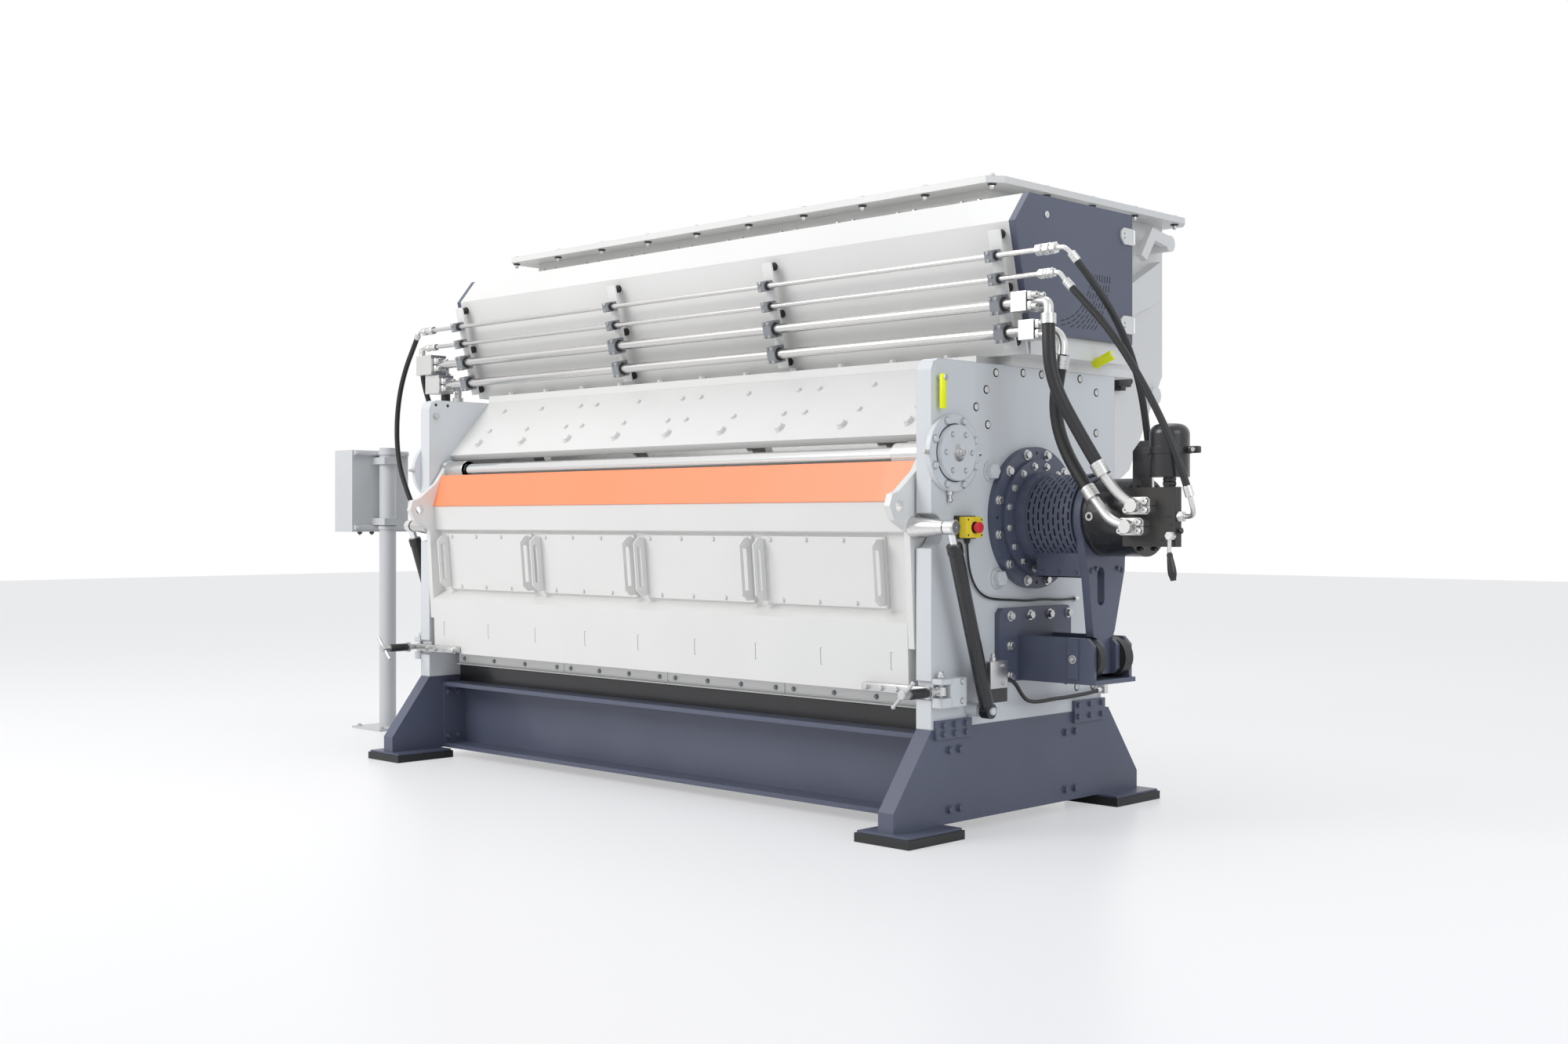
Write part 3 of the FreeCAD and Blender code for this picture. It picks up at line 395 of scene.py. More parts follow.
def hose(node, points, radius):
    """A hose as one smooth curve along its route, in place of its solid."""
    data = bpy.data.curves.new(node + "_run", "CURVE")
    data.dimensions = "3D"
    data.bevel_depth = radius * MM
    data.bevel_resolution = 6
    data.resolution_u = 12
    data.use_fill_caps = True
    spline = data.splines.new("NURBS")
    spline.points.add(len(points) - 1)
    for item, place in zip(spline.points, points):
        item.co = (*(c * MM for c in place), 1.0)
    spline.order_u = 3
    spline.use_endpoint_u = True
    data.materials.append(RUBBER)
    item = bpy.data.objects.new(node + "_run", data)
    bpy.context.collection.objects.link(item)
    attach(item, "machine")
    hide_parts(node)


def cords():
    """The oil hoses, the cylinders' hoses and the stop's cable."""
    for node, (radius, length, points) in HOSES.items():
        hose(node, points, radius)
    for side, word in SIDES:
        points = [(side * x, y, z) for x, y, z in CYLINDER_HOSE]
        hose("cylinder_hose_" + word, points, CYLINDER_HOSE_RADIUS)
    hose("stop_cable", STOP_CABLE, STOP_CABLE_RADIUS)


def round_places(centre, radius, count, first=0.0):
    """Places at equal steps round a centre in the YZ plane."""
    angles = [math.radians(first + 360.0 * index / count) for index in range(count)]
    return [(centre[0] + radius * math.cos(a), centre[1] + radius * math.sin(a)) for a in angles]


def end_bolts(mesh, x, places, size):
    """The same bolts on the outer faces of both ends."""
    for side in ENDS:
        for y, z in places:
            bolt(mesh, (side * x, y, z), (side, 0, 0), size)


def base_bolts():
    """Bolts of the base's sides, of its beams' ends and of the plates that tie it to the frames."""
    mesh = bmesh.new()
    end_bolts(mesh, OUTER, [(y, z) for y in (-483, -422) for z in (322, 97)], 16)
    end_bolts(mesh, OUTER, [(y, z) for y in (273, 340) for z in (325, 90)], 16)
    end_bolts(mesh, TIE_PLATE, [(y, z) for y in (-535, -468, -401) for z in (388, 421)], 13)
    end_bolts(mesh, TIE_PLATE, [(y, z) for y in (345, 428, 511) for z in (385, 432)], 13)
    for side in ENDS:
        for y in (-483, -422, 422, 483):
            for z in (322, 97):
                bolt(mesh, (side * BEAM_END, y, z), (-side, 0, 0), 16)
    piece("base_bolts", mesh, BLUE)


# Socket screws of the end frames, each as Y and Z.
FRAME_SCREWS = ((-191, 1772), (-14, 1782), (110, 1783), (-253, 1703), (-317, 1633), (-243, 1567),
                (379, 1781), (498, 1731), (496, 1561), (356, 506), (472, 503), (280, 538))


SCREW_RECESS = [(0, 0.4), (12.5, 0.4), (12.5, 2.4), (7, 2.4), (6.5, 0.8), (0, 0.8)]
GREASE_NIPPLE = [(0, 0), (12, 0), (12, 14), (7, 16), (7, 26), (10, 28), (10, 38), (5, 43), (0, 43)]
RING_MIDDLE = 1687.0


def hinge_cover_fittings(steel, side):
    """The stud in the middle of a hinge cover, its grease nipple and the screws at its rim."""
    out = (side, 0, 0)
    washer = [(0, 0), (34, 0), (34, 1.5), (30, 3), (0, 3)]
    lathe(steel, (side * HINGE_DISC, *HINGE), out, washer, 32)
    bolt(steel, (side * (HINGE_DISC + 3), *HINGE), out, 17)
    hexagon(steel, (side * (HINGE_DISC + 15), *HINGE), out, 11, 12)
    middle = side * RING_MIDDLE
    lathe(steel, (middle, -492, 1304), (0, 0, -1), GREASE_NIPPLE, 16)
    for y, way in ((-332, 1), (-624, -1)):
        bolt(steel, (middle, y, HINGE[1]), (0, way, 0), 12)
        hexagon(steel, (middle, y + 10 * way, HINGE[1]), (0, way, 0), 9, 16)


def frame_details():
    """Bolts, recessed screws and bores of the end frames and the hinge covers, with dark discs and a
    dark ring as painted shade in the recesses, the bores and the cover's groove.
    """
    painted = bmesh.new()
    end_bolts(painted, OUTER, ((-231, 1386), (-186, 967)), 38)
    end_bolts(painted, HINGE_RING, round_places(HINGE, 129, 8, 22.5), 15)
    end_bolts(painted, HINGE_DISC, round_places(HINGE, 78, 6), 10)
    steel = bmesh.new()
    dark = bmesh.new()
    for side in ENDS:
        out = (side, 0, 0)
        for y, z in FRAME_SCREWS:
            # A dark disc under each screw: painted shade in its recess.
            disc(dark, (side * OUTER, y, z), out, 17.5, 0.4)
            lathe(steel, (side * OUTER, y, z), out, SCREW_RECESS, 20)
        # Dark discs: painted shade in two bores of the inner face.
        for y, z in ((-549, 1782), (-477, 1781)):
            disc(dark, (side * INNER, y, z), (-side, 0, 0), 8, 0.5)
        bolt(steel, (side * INNER, -547, 1724), (-side, 0, 0), 17)
        # A dark ring: painted shade in the groove round the hinge cover's disc.
        collar(dark, (side * HINGE_RING, *HINGE), out, 106, 111.5, 0.8)
        hinge_cover_fittings(steel, side)
    piece("frame_bolts", painted, SHADED_WHITE)
    piece("frame_screws", steel, ZINC)
    piece("frame_bore_shade", dark, SHADE_AND_JOINTS)


def knife_bolts():
    """Three rows of bolts on the sloping beam, and the studs behind its upper edge."""
    mesh = bmesh.new()
    out = out_of(KNIFE_FACE)
    for index in range(-4, 5):
        bolt(mesh, on_face(KNIFE_FACE, 354.5 * index, 0, 74), out, 22)
    for start in (-1402, -667, 68, 803):
        for step in (0, 306, 612):
            for along in (158, 296):
                bolt(mesh, on_face(KNIFE_FACE, start + step, 0, along), out, 13)
    for index in range(11):
        bolt(mesh, (-1455 + 288 * index, -180, ROOF_TOP), (0, 0, 1), 19)
    piece("knife_bolts", mesh, WHITE)


def bearing_details():
    """The collar on each bearing's ring and the two circles of bolts, with dark discs as painted
    shade in four holes of the ring, and a dark disc on the cap.
    """
    blue = bmesh.new()
    steel = bmesh.new()
    dark = bmesh.new()
    for side in ENDS:
        out = (side, 0, 0)
        collar(blue, (side * BEARING_RING, *ROTOR), out, 178, 232, BEARING_COLLAR - BEARING_RING, 72)
        for y, z in round_places(ROTOR, 258, 4):
            # Dark discs: painted shade in the ring's four holes.
            disc(dark, (side * BEARING_RING, y, z), out, 7, 0.5)
        disc(dark, (side * BEARING_CAP, *ROTOR), out, 166, 4, 48)
    end_bolts(steel, BEARING_RING, round_places(ROTOR, 258, 12, 15), 19)
    end_bolts(steel, BEARING_COLLAR, round_places(ROTOR, 207, 16, 11.25), 14)
    piece("bearing_collars", blue, BLUE)
    piece("bearing_bolts", steel, ZINC)
    piece("bearing_dark_discs", dark, SHADE_AND_JOINTS)


# The guard's round sheet. SLOT_MARKS are degrees within a row, and a bridge between two slots
# is the cell that starts at the mark of its number.
GUARD_START = 1774.0
GUARD_END = 1985.0
GUARD_RADIUS = 170.0
GUARD_SHEET = 2.5
GUARD_FOOT = (-60.0, 136.0)
GUARD_BOTTOM = 973.0
SLOT_PITCH = 23.4
SLOT_EDGES = (8.2, 15.2)
SLOT_COLUMNS = 9
SLOT_ROWS = 25
SLOT_MARKS = (0.0, 3.2, 7.2, 10.4)
EVEN_BRIDGE = 3
ODD_BRIDGE = 1


def guard_sheet(mesh, side):
    """A round sheet with staggered slots: cells of a grid, less those of the slots."""
    step = 360.0 / SLOT_ROWS
    angles = [math.radians(step * row + mark) for row in range(SLOT_ROWS) for mark in SLOT_MARKS]
    lines = [GUARD_START]
    for column in range(SLOT_COLUMNS):
        start = GUARD_START + column * SLOT_PITCH
        lines += [start + edge for edge in SLOT_EDGES]
    lines.append(GUARD_START + SLOT_COLUMNS * SLOT_PITCH)
    grid = []
    for x in lines:
        grid.append([mesh.verts.new(Vector((
            side * x, ROTOR[0] + GUARD_RADIUS * math.cos(angle),
            ROTOR[1] + GUARD_RADIUS * math.sin(angle))) * MM) for angle in angles])
    faces = []
    for i in range(len(lines) - 1):
        column, in_slot = divmod(i, 2)
        bridge = EVEN_BRIDGE if column % 2 == 0 else ODD_BRIDGE
        for j in range(len(angles)):
            if in_slot and j % len(SLOT_MARKS) != bridge:
                continue
            after = (j + 1) % len(angles)
            faces.append(mesh.faces.new([grid[i][j], grid[i][after], grid[i + 1][after],
                                         grid[i + 1][j]]))
    bmesh.ops.recalc_face_normals(mesh, faces=faces)
    bmesh.ops.solidify(mesh, geom=faces, thickness=GUARD_SHEET * MM)


def guards():
    """The slotted guards over the couplings, each with end rings, a foot, and a dark block and disc
    inside as painted shade that shows through the slots.
    """
    sheet = bmesh.new()
    trim = bmesh.new()
    inner_shade = bmesh.new()
    bolts = bmesh.new()
    wall = 6
    front, back = GUARD_FOOT
    floor = GUARD_BOTTOM + wall
    for side in ENDS:
        out = (side, 0, 0)
        guard_sheet(sheet, side)
        for x in (GUARD_START, GUARD_END - wall):
            collar(trim, (side * x, *ROTOR), out, GUARD_RADIUS - 4, GUARD_RADIUS + 3, wall, 72)
        low, high = sorted((side * GUARD_START, side * GUARD_END))
        block(trim, (low, front, GUARD_BOTTOM), (high, front + wall, 1072), 1.5)
        block(trim, (low, back - wall, GUARD_BOTTOM), (high, back, 1072), 1.5)
        block(trim, (low, front, GUARD_BOTTOM), (high, back, floor), 1.5)
        # A dark block and disc inside the guard: painted shade seen through the slots.
        block(inner_shade, (low, front + wall, floor), (high, back - wall, 1060))
        disc(inner_shade, (side * (GUARD_START + 2), *ROTOR), out, 148, 205, 48)
        for x in (1800, 1880, 1960):
            bolt(bolts, (side * x, front, 992), (0, -1, 0), 8)
    piece("guard_sheets", sheet, BLUE, replaces=["coupling_guards"])
    piece("guard_trim", trim, BLUE)
    piece("guard_inner_shade", inner_shade, SHADE_AND_JOINTS)
    piece("guard_bolts", bolts, BLUE)


def drive_details():
    """Bolts on the torque brackets and arms, and rings and plugs on the motors."""
    steel = bmesh.new()
    blue = bmesh.new()
    black = bmesh.new()
    places = [(y, 818) for y in (-132, -1, 131, 259)] + [(-132, 701), (-132, 583)]
    end_bolts(steel, BRACKET_WALL, places, 19)
    end_bolts(blue, ARM_FACE, ((-44, 1000), (-14, 1007), (133, 1007), (163, 1000)), 11)
    forward = (0, -1, 0)
    motor_ring = [(0, 0), (151, 0), (151, 20), (149.5, 22), (0, 22)]
    for side in ENDS:
        collar(steel, (side * 1966, -92, 660), forward, 11, 17, 2, 24)
        socket_screw(steel, (side * 1966, -92, 660), forward, 13)
        lathe(black, (side * ARM_FACE, *ROTOR), (side, 0, 0), motor_ring, 64)
        collar(steel, (side * 2056, -110, 1209), forward, 9, 17, 5, 24)
        for y, z in round_places(ROTOR, 128, 8, 22.5):
            socket_screw(black, (MOTOR_ENDS[side], y, z), (side, 0, 0), 12)
    piece("bracket_bolts", steel, ZINC)
    piece("arm_bolts", blue, BLUE)
    piece("motor_rings", black, BLACK)


# The valve block's ports as X and Z, its front faces as Y, and the flask's axis as X and Y.
PORTS = ((2304.0, 1248.0), (2277.0, 1171.0))
PORT_FACE = -172.0
VALVE_FACE = -130.0
VALVE_END = 2442.0
VALVE_TOP = 1316.0
FLASK = (2405.0, -110.0)
BAND_BOTTOM = 1437.0
BAND_HEIGHT = 26.0
LEVER = (2430.0, -152.0)
LEVER_GRIP = [
    (0, 0), (8, 1), (10, 12), (13, 34), (16, 62), (16, 80), (12, 96), (6, 103), (0, 105)]
FLANGE_SCREW = [(0, 0), (14, 0), (14, 13), (11, 17), (5, 17), (4.5, 9), (0, 9)]


def port_flanges(steel, dark):
    """The split line, the four screws and the ring of each port's flange."""
    forward = (0, -1, 0)
    for x, z in PORTS:
        block(dark, (x - 56.4, PORT_FACE - 0.4, z - 1.2), (x + 56.4, VALVE_FACE - 1, z + 1.2))
        for across in (-39, 39):
            for up in (-16, 16):
                lathe(steel, (x + across, PORT_FACE, z + up), forward, FLANGE_SCREW, 24)
        collar(steel, (x, PORT_FACE, z), forward, 20, 30, 7, 32)


def lever(steel, black):
    """The lever's hub nut, its arm and its black grip."""
    hub = (LEVER[0], LEVER[1] - 8, 1137)
    hexagon(steel, hub, (0, 1, 0), 17, 30)
    lathe(steel, (*LEVER, 1132), (0, 0, -1), [(0, 0), (8, 0), (7.5, 60), (0, 60)], 16)
    lathe(black, (*LEVER, 1078), (16, 0, -97), LEVER_GRIP, 20)


def flask_details(steel, black):
    """The flask's neck, its valve, and its band with the ear and its screw."""
    up = (0, 0, 1)
    hexagon(steel, (*FLASK, 1546), up, 9, 19)
    hexagon(black, (*FLASK, 1320), up, 28, 16)
    hexagon(black, (*FLASK, 1337), up, 24, 14, 0.4)
    block(black, (2474, -124, BAND_BOTTOM), (2530, -96, BAND_BOTTOM + BAND_HEIGHT), 5)
    lathe(steel, (2512, -128, 1450), (0, 1, 0), [(0, 0), (8, 0), (8, 36), (0, 36)], 16)
    collar(black, (*FLASK, BAND_BOTTOM), up, 72, 77.5, BAND_HEIGHT, 48)


def valve_details():
    """Flange screws, plugs, the lever and the accumulator's band and valve, with dark split lines on
    the flanges, a thin dark bar, and two dark discs as painted shade in holes of the block.
    """
    steel = bmesh.new()
    black = bmesh.new()
    dark = bmesh.new()
    port_flanges(steel, dark)
    lever(steel, black)
    flask_details(steel, black)
    hexagon(steel, (2443, -110, 1208), (1, 0, 0), 21, 22)
    block(dark, (2405, VALVE_FACE - 0.6, 1204), (2427, VALVE_FACE + 1, 1210), 0.3)
    # Two dark discs: painted shade in holes of the block's face.
    for x, z in ((2424, 1179), (2386, 1120)):
        disc(dark, (x, VALVE_FACE, z), (0, -1, 0), 5, 0.6)
    knob = [(0, 0), (5, 0), (5, 5), (11, 7), (11, 14), (0, 15)]
    lathe(black, (VALVE_END, -108, 1156), (1, 0, 0), knob, 8)
    for x in (2236, 2420):
        socket_screw(black, (x, -112, VALVE_TOP), (0, 0, 1), 9)
    piece("valve_fittings", steel, SILVER)
    piece("valve_black", black, BLACK)
    piece("valve_shade_and_splits", dark, SHADE_AND_JOINTS)


# The rails and clamps, by their places off the hood's face and along it. A clamp has half its
# width, half its height, its outer face and the places of its screws across it.
RAIL_HALF = 30
RAIL_OFF = (42, 50)
RAIL_ALONG = (30, 492)
BUFFERS_ALONG = (52, 264, 471)
THICK_PIPE = 15
THICK_CLAMP = (23, 36, 114, (-14.26, 14.26))
THIN_CLAMP = (18, 22, 108, (0,))
SPLIT_OFF = (81, 83)
SPLIT_PROUD = 0.4


def clamp_fittings(rubber, screws, dark, x, pipe):
    """The bush, the screws and the split line of one clamp."""
    y, z, radius = pipe
    wide, tall, top, places = THICK_CLAMP if radius > THICK_PIPE else THIN_CLAMP
    along = (HOOD_FACE.inverted() @ (Vector((0, y, z)) * MM)).z
    collar(rubber, (x - wide - 4, y, z), (1, 0, 0), radius, radius + 7, 2 * wide + 8, 32)
    side = wide + SPLIT_PROUD
    end = tall + SPLIT_PROUD
    block(dark, (x - side, SPLIT_OFF[0], along - end), (x + side, SPLIT_OFF[1], along + end),
          0, HOOD_FACE)
    for across in places:
        for up in (-tall + 8, tall - 8):
            place = on_face(HOOD_FACE, x + across, top, along + up)
            socket_screw(screws, place, out_of(HOOD_FACE), 8)


def rails():
    """Rails on rubber buffers, and the clamps' bushes, screws and split lines."""
    strips = bmesh.new()
    rubber = bmesh.new()
    screws = bmesh.new()
    dark = bmesh.new()
    for x in STATIONS:
        low = (x - RAIL_HALF, RAIL_OFF[0], RAIL_ALONG[0])
        high = (x + RAIL_HALF, RAIL_OFF[1], RAIL_ALONG[1])
        block(strips, low, high, 2, HOOD_FACE)
        for along in BUFFERS_ALONG:
            place = on_face(HOOD_FACE, x, 0.2, along)
            disc(rubber, place, out_of(HOOD_FACE), 18, RAIL_OFF[0], 24)
        for pipe in PIPES:
            clamp_fittings(rubber, screws, dark, x, pipe)
    piece("rail_strips", strips, WHITE, replaces=["pipe_rails"])
    piece("rail_rubber", rubber, RUBBER)
    piece("clamp_screws", screws, ZINC)
    piece("clamp_splits", dark, SHADE_AND_JOINTS)


# The nuts on the two thin pipes, each as its start, length and radius, and where the split
# flanges of the two thick pipes start.
PIPE_NUTS = (
    ((1961, 28, 24), (1998, 25, 25), (2029, 21, 24), (-2052, 30, 24), (-1992, 32, 24)),
    ((1962, 23, 21), (1988, 12, 21), (2002, 16, 21), (-2046, 26, 21), (-1990, 26, 21)),
)
FLANGE_STARTS = ((1903, -1982), (1922, -1948))
SPLIT_SCREW = [(0, 0), (13, 0), (13, 15), (10, 18), (5, 18), (4.5, 9), (0, 9)]
SLEEVE_STEPS = (5, 17, 29)
SLEEVE_PROUD = {HOSE_RADIUS: 4.8, LINE_RADIUS: 3.3}


def split_flange(mesh, dark, x, y, z):
    """A seal and the two halves of a flange, with their four screws."""
    block(dark, (x - 0.5, y - 32, z - 32), (x + 3, y + 32, z + 32))
    for low, high in ((1, 37), (-37, -1)):
        block(mesh, (x + 2, y - 38, z + low), (x + 24, y + 38, z + high), 7)
    for across in (-24, 24):
        for up in (-22, 22):
            lathe(mesh, (x + 24, y + across, z + up), (1, 0, 0), SPLIT_SCREW, 20)


def sleeve_rings(mesh, radius, end, before):
    """Three rings on the sleeve that a hose ends in."""
    axis = (Vector(end) - Vector(before)).normalized()
    for step in SLEEVE_STEPS:
        spot = tuple(Vector(end) + axis * step)
        collar(mesh, spot, axis, radius, radius + SLEEVE_PROUD[radius], 7, 32)


def line_ends():
    """Nuts on the thin lines, split flanges on the thick ones, and rings on hose sleeves."""
    mesh = bmesh.new()
    dark = bmesh.new()
    for (y, z, _), row in zip(PIPES, PIPE_NUTS):
        for x, length, radius in row:
            hexagon(mesh, (x, y, z), (1, 0, 0), radius, length, 0.3)
    for (y, z, _), starts in zip(PIPES[2:], FLANGE_STARTS):
        for x in starts:
            split_flange(mesh, dark, x, y, z)
    for radius, _, points in HOSES.values():
        sleeve_rings(mesh, radius, points[0], points[1])
        sleeve_rings(mesh, radius, points[-1], points[-2])
    piece("line_fittings", mesh, SILVER)
    piece("line_seals", dark, SHADE_AND_JOINTS)


# The hood's vents: short slots on arcs about a centre, given as Y and Z, between a straight
# lower edge and an upper one, both measured down from the centre.
VENT_CENTRE = (4.0, 2237.0)
VENT_RADII = [255.0 + 17.9 * index for index in range(8)]
VENT_LOWEST = 276.0
VENT_HIGHEST = 42.0
VENT_STEEPEST = -1.47
DASH = 28.0
DASH_STEP = 36.0


def vents(mesh, side):
    """Short slots along arcs, kept inside a straight lower and upper edge, each a thin dark block as
    painted shade in the opening.
    """
    for radius in VENT_RADII:
        first = -math.asin(VENT_LOWEST / radius) if radius > VENT_LOWEST else VENT_STEEPEST
        last = -math.asin(VENT_HIGHEST / radius)
        count = int((last - first) * radius / DASH_STEP)
        for index in range(count):
            angle = first + (index + 0.5) * (last - first) / count
            y = VENT_CENTRE[0] + radius * math.cos(angle)
            z = VENT_CENTRE[1] + radius * math.sin(angle)
            turned = Matrix.Translation(Vector((side * HOOD_END, y, z)) * MM)
            turned = turned @ Matrix.Rotation(angle, 4, "X") @ Matrix.Scale(MM, 4)
            block(mesh, (-0.6, -2, -DASH / 2), (0.6, 2, DASH / 2), 0, turned)


HOOD_SCREW = [(0, 0), (14, 0), (14, 3), (9, 5), (3, 5), (3, 3), (0, 3)]
HOOD_HINGES = ((2335, 2403), (1966, 2040))
HINGE_PLATE = 8


def hood_hinge(white, steel, dark, side, low, high):
    """A hinge of the hood's end cover: its plate, its pin and two screws."""
    outline = [(478, low), (545, low), (545, high), (474, high), (454, high - 16),
               (454, low + 26)]
    face = side * (HOOD_END + HINGE_PLATE)
    prism(white, side * HOOD_END, face, outline)
    length = high - low - 8
    pin = [(0, 0), (7, 0), (7, length), (0, length)]
    lathe(steel, (side * 1826, 549, low + 4), (0, 0, 1), pin, 16)
    for up in (26, 44):
        disc(dark, (face, 478, low + up), (side, 0, 0), 3.5, 0.4, 16)


def hood_details():
    """The vents as dark blocks of painted shade, and the hinges and lock screws of the hood's ends.
    """
    dark = bmesh.new()
    white = bmesh.new()
    steel = bmesh.new()
    for side in ENDS:
        vents(dark, side)
        lathe(steel, (side * HOOD_END, -58, 2390), (side, 0, 0), HOOD_SCREW, 24)
        for low, high in HOOD_HINGES:
            hood_hinge(white, steel, dark, side, low, high)
    piece("hood_vent_shade", dark, SHADE_AND_JOINTS)
    piece("hood_hinges", white, WHITE)
    piece("hood_screws", steel, ZINC)


FLANGE_PITCH = 347
NECK_SCREW_OFF = 45
FLANGE_WASHER = [(0, 0), (18, 0), (18, 6), (13, 8), (0, 8)]
STUD_TIP = [(0, 0), (10, 0), (10, 9), (6, 16), (0, 17)]


def flange_bolts():
    """Bolts through the inlet flange, with washers and stud tips below it."""
    heads = bmesh.new()
    washers = bmesh.new()
    tips = bmesh.new()
    places = [(-1560 + FLANGE_PITCH * index, -70) for index in range(10)]
    places += [(-1387 + FLANGE_PITCH * index, 1336) for index in range(9)]
    places += [(side * 1570, -40 + 330 * index) for side in ENDS for index in range(1, 5)]
    down = (0, 0, -1)
    for x, y in places:
        bolt(heads, (x, y, FLANGE_TOP), (0, 0, 1), 15)
        lathe(washers, (x, y, FLANGE_UNDER), down, FLANGE_WASHER, 20)
        lathe(tips, (x, y, FLANGE_UNDER - 8), down, STUD_TIP, 6)
    for index in range(9):
        for across in (-NECK_SCREW_OFF, NECK_SCREW_OFF):
            x = -1386.5 + FLANGE_PITCH * index + across
            bolt(tips, (x, 14, 2505), (0, -1, 0), 9)
    piece("flange_bolts", heads, WHITE)
    piece("flange_washers", washers, BLACK)
    piece("flange_tips", tips, ZINC)


# The hatches' left edges and their two rows of bolts: how many, how far in and how high.
HATCH_STARTS = (-1490.0, -738.0, 5.0, 750.0)
HATCH_ROWS = ((4, 48, 265), (3, 103, 16))
HATCH_PITCH = 203
MARK_PITCH = 368.5
MARK_ALONG = (88, 155)
MARK_OFF = (-0.3, 0.5)

# The lengths of strip under the door's box, and their front face.
STRIPS = ((-1552.0, -702.0), (-698.0, 34.0), (38.0, 764.0), (768.0, 1552.0))
STRIP_FACE = -441
STRIP_BACK = -435


def fold_marks(mesh):
    """The tabs' outlines on the door's box: an upright line and two short ones."""
    low, high = MARK_ALONG
    inside, outside = MARK_OFF
    for index in range(-4, 5):
        x = MARK_PITCH * index
        block(mesh, (x - 1.1, inside, low), (x + 1.1, outside, high), 0, DOOR_FACE)
        for along in (low, high - 1.6):
            block(mesh, (x, inside, along), (x + 8, outside, along + 1.6), 0, DOOR_FACE)


def door_details():
    """Bolts on the hatches, fold marks on the box and the bolted strip under it."""
    painted = bmesh.new()
    marks = bmesh.new()
    strip = bmesh.new()
    steel = bmesh.new()
    out = out_of(HATCH_FACE)
    for start in HATCH_STARTS:
        for count, first, along in HATCH_ROWS:
            for index in range(count):
                x = start + first + HATCH_PITCH * index
                bolt(painted, on_face(HATCH_FACE, x, 0, along), out, 9)
    fold_marks(marks)
    for low, high in STRIPS:
        block(strip, (low, STRIP_FACE, 468), (high, STRIP_BACK, 526), 1)
        block(strip, (low, -455, 464), (high, STRIP_BACK, 470), 1)
        for index in range(4):
            x = low + 50 + (high - low - 100) * index / 3
            bolt(steel, (x, STRIP_FACE, 494), (0, -1, 0), 10)
    piece("hatch_bolts", painted, WHITE, "door")
    piece("door_marks", marks, GREY, "door")
    piece("door_strips", strip, WHITE, "door")
    piece("strip_bolts", steel, GREY, "door")


# The clamp bars: their side, their inner end and their bolts' distances from the middle.
CLAMP_BARS = ((1, 1350, (1376, 1453, 1530)), (-1, 1336, (1430, 1500, 1576)))
BAR_FACE = -619
SWING_BOLT = 1704
BOLT_LEVEL = 553
HANDLE_HALF = 66 / math.sqrt(2)
GRIP = [(9, 0), (17, 0), (19, 4), (19, 102), (17, 107), (9, 107)]
HANDLE_END = [(0, -9), (5, -7.5), (8.5, -3), (8.5, 3), (5, 7.5), (0, 9)]
CLEVIS_CAP = [(0, 0), (15, 0), (15, 6), (11, 8), (11, 16), (6, 22), (0, 23)]


def clamp_bars():
    """The bolted bars on the door that the swing bolts pull on."""
    bars = bmesh.new()
    for side, low, bolts in CLAMP_BARS:
        near, far = sorted((side * low, side * DOOR_END))
        block(bars, (near, BAR_FACE, 536), (far, -583.4, 570), 4)
        for x in bolts:
            bolt(bars, (side * x, BAR_FACE, BOLT_LEVEL), (0, -1, 0), 13)
    block(bars, (-1418, -634, 539), (-1338, -617, 566), 8)
    piece("clamp_bar_set", bars, ZINC, "door", replaces=["clamp_bars"])


def swing_bolts():
    """The grips, nuts and handles of the swing bolts, and their clevises' caps and bolts."""
    dome = bmesh.new()
    painted = bmesh.new()
    back = (0, 1, 0)
    for side, word in SIDES:
        grip = bmesh.new()
        steel = bmesh.new()
        x = side * SWING_BOLT
        lathe(grip, (x, -756, BOLT_LEVEL), back, GRIP, 28)
        hexagon(steel, (x, -798, BOLT_LEVEL), back, 19, 38)
        for reach in (-HANDLE_HALF, HANDLE_HALF):
            place = (side * (SWING_BOLT + reach), -786, BOLT_LEVEL + reach)
            lathe(steel, place, (side, 0, 1), HANDLE_END, 14)
        collar(steel, (x, -646, BOLT_LEVEL), back, 9, 14, 46, 20)
        piece("clamp_grip_" + word, grip, RUBBER, "clamp_" + word)
        piece("clamp_nut_" + word, steel, ZINC, "clamp_" + word)
        lathe(dome, (x, -566, 606), (0, 0, 1), CLEVIS_CAP, 16)
        for z in (512, 585):
            bolt(painted, (side * 1725, -468, z), (side, 0, 0), 11)
    piece("clevis_caps", dome, ZINC)
    piece("clevis_bolts", painted, SHADED_WHITE)


# The cylinders: their lower pin, the direction of the rod, and the block on each barrel.
CYLINDER_FOOT = (1766, -362, 469)
REACH = Vector((0, -225, 699)).normalized()
BARREL_END = 628
BARREL_BLOCK = (1742, 1790)
SHAFT_SLEEVE = [(30, 0), (45, 0), (46.5, 2), (46.5, 171), (45, 173), (30, 173)]
PIN_CAP = [(0, 0), (27, 0), (27, 5), (25, 7), (3, 7), (3, 5), (0, 5)]
BARREL_HEAD = [(0, 0), (29, 0), (31, 3), (31, 36), (28, 41), (17, 42), (0, 42)]
BLOCK_PLUG = [(0, 0), (13, 0), (13, 14), (9, 17), (9, 28), (0, 28)]


